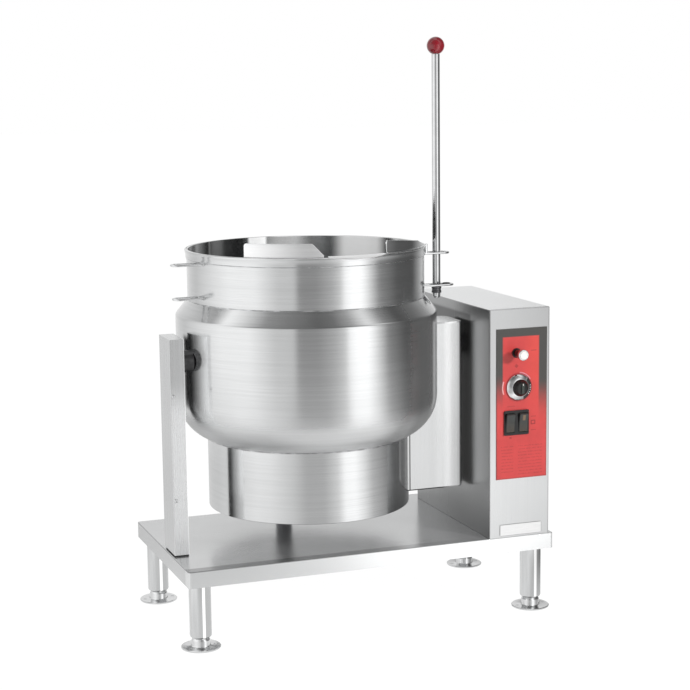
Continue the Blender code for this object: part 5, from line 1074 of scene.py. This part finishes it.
startClean()
bpy.ops.mesh.primitive_plane_add(size=60, location=(0, 0, 0))
floor = newest("studio_floor")
look = Finish("studio_floor_paint")
seen, mirror = look.rays()
plain = look.node("ShaderNodeBsdfDiffuse", None, {"Color": grey(0.86)})
x, y, z = look.place(kettleAxis)
turn = look.around(x, y) / 360 + 0.5
mirrored = look.node("ShaderNodeValToRGB", {"stops": cardStops("foot")}, {"Fac": turn})
mirrored = look.mix(((x * x + y * y) ** 0.5).step(0.35, 0.75), grey(0.46), mirrored)
bright = look.mix(mirror, grey(0.54), mirrored)
white = look.node("ShaderNodeEmission", None, {"Color": bright, "Strength": 2.0})
look.surface(look.node("ShaderNodeMixShader", None, {0: seen * 0.9, 1: plain, 2: white}))
floor.data.materials.append(look.material)

flag = blockPiece("studio_flag_behind_post", (-0.3625, -0.0420, 0.395), (-0.3615, 0.0550, 0.565))
forMirrors(flag)
look = Finish("studio_flag_black", Roughness=0.9)
weave = look.noise(0.004)
x, y, z = look.place()
cloth = (1 - y.step(0.008, 0.055)) * z.band(0.395, 0.445, 0.550, 0.565)
look.set(Base_Color=look.mix(weave, grey(0.002), grey(0.005)), Alpha=cloth * 0.92)
flag.data.materials.append(look.material)

piece = drawChain("studio_cards", [(studio["radius"], 0, 0.001), (studio["radius"], 0, studio["height"])])
spinRound(96)
bpy.ops.object.mode_set(mode="OBJECT")
piece.location = kettleAxis
applyPlace(piece)
forMirrors(piece)
look = Finish("studio_card_light")
x, y, z = look.place(kettleAxis)
turn = look.around(x, y) / 360 + 0.5
foot, middle, high = [look.node("ShaderNodeValToRGB", {"stops": cardStops(zone)}, {"Fac": turn})
                      for zone in ("foot", "middle", "high")]
card = look.mix(z.step(0.0, studio["middleHeight"]), foot, middle)
card = look.mix(z.step(studio["highFrom"], studio["highTo"]), card, high)
look.surface(look.node("ShaderNodeEmission", None, {"Color": card, "Strength": 2.0}))
piece.data.materials.append(look.material)

world = bpy.data.worlds.new("studio_air")
bpy.context.scene.world = world
world.use_nodes = True
air = Nodes(world.node_tree)
seen, mirror = air.rays()
level = air.node("ShaderNodeMapRange", None, {"Value": seen, "To Min": 0.4, "To Max": 1.0})
backdrop = world.node_tree.nodes["Background"].inputs
air.feed(backdrop["Strength"], level)
air.feed(backdrop["Color"], grey(1))

lamps = {"key": {"place": (1.5, -2.3, 1.15), "size": 0.3, "power": 42},
         "fill": {"place": (-2.6, -1.4, 2.0), "size": 1.8, "power": 26}}
for name, lampSetting in lamps.items():
    light = bpy.data.lights.new(name + "_lamp", "AREA")
    light.size = lampSetting["size"]
    light.energy = lampSetting["power"]
    holder = bpy.data.objects.new(name + "_lamp", light)
    bpy.context.scene.collection.objects.link(holder)
    holder.location = lampSetting["place"]
    holder.rotation_euler = (Vector((0, 0, 0.45)) - holder.location).to_track_quat("-Z", "Y").to_euler()
    holder.visible_glossy = False

shot = {"eye": (-1.15276, -3.21245, 1.05542), "forward": (0.33888, 0.92816, -0.15388), "roll": -0.68,
        "focal": 1733.4, "frame": 690, "sensor": 36}
camera = bpy.data.objects.new("photo_camera", bpy.data.cameras.new("photo_camera"))
bpy.context.scene.collection.objects.link(camera)
camera.data.sensor_width = shot["sensor"]
camera.data.lens = shot["sensor"] * shot["focal"] / shot["frame"]
forward = Vector(shot["forward"]).normalized()
right = forward.cross(Vector((0, 0, 1))).normalized()
up = right.cross(forward)
roll = math.radians(shot["roll"])
across = right * math.cos(roll) + up * math.sin(roll)
rise = up * math.cos(roll) - right * math.sin(roll)
camera.matrix_world = Matrix.Translation(shot["eye"]) @ Matrix((across, rise, -forward)).transposed().to_4x4()
camera.data.clip_start = 0.05
camera.data.clip_end = 100
bpy.context.scene.camera = camera
bpy.context.scene.view_settings.view_transform = "Standard"
print("studio set")
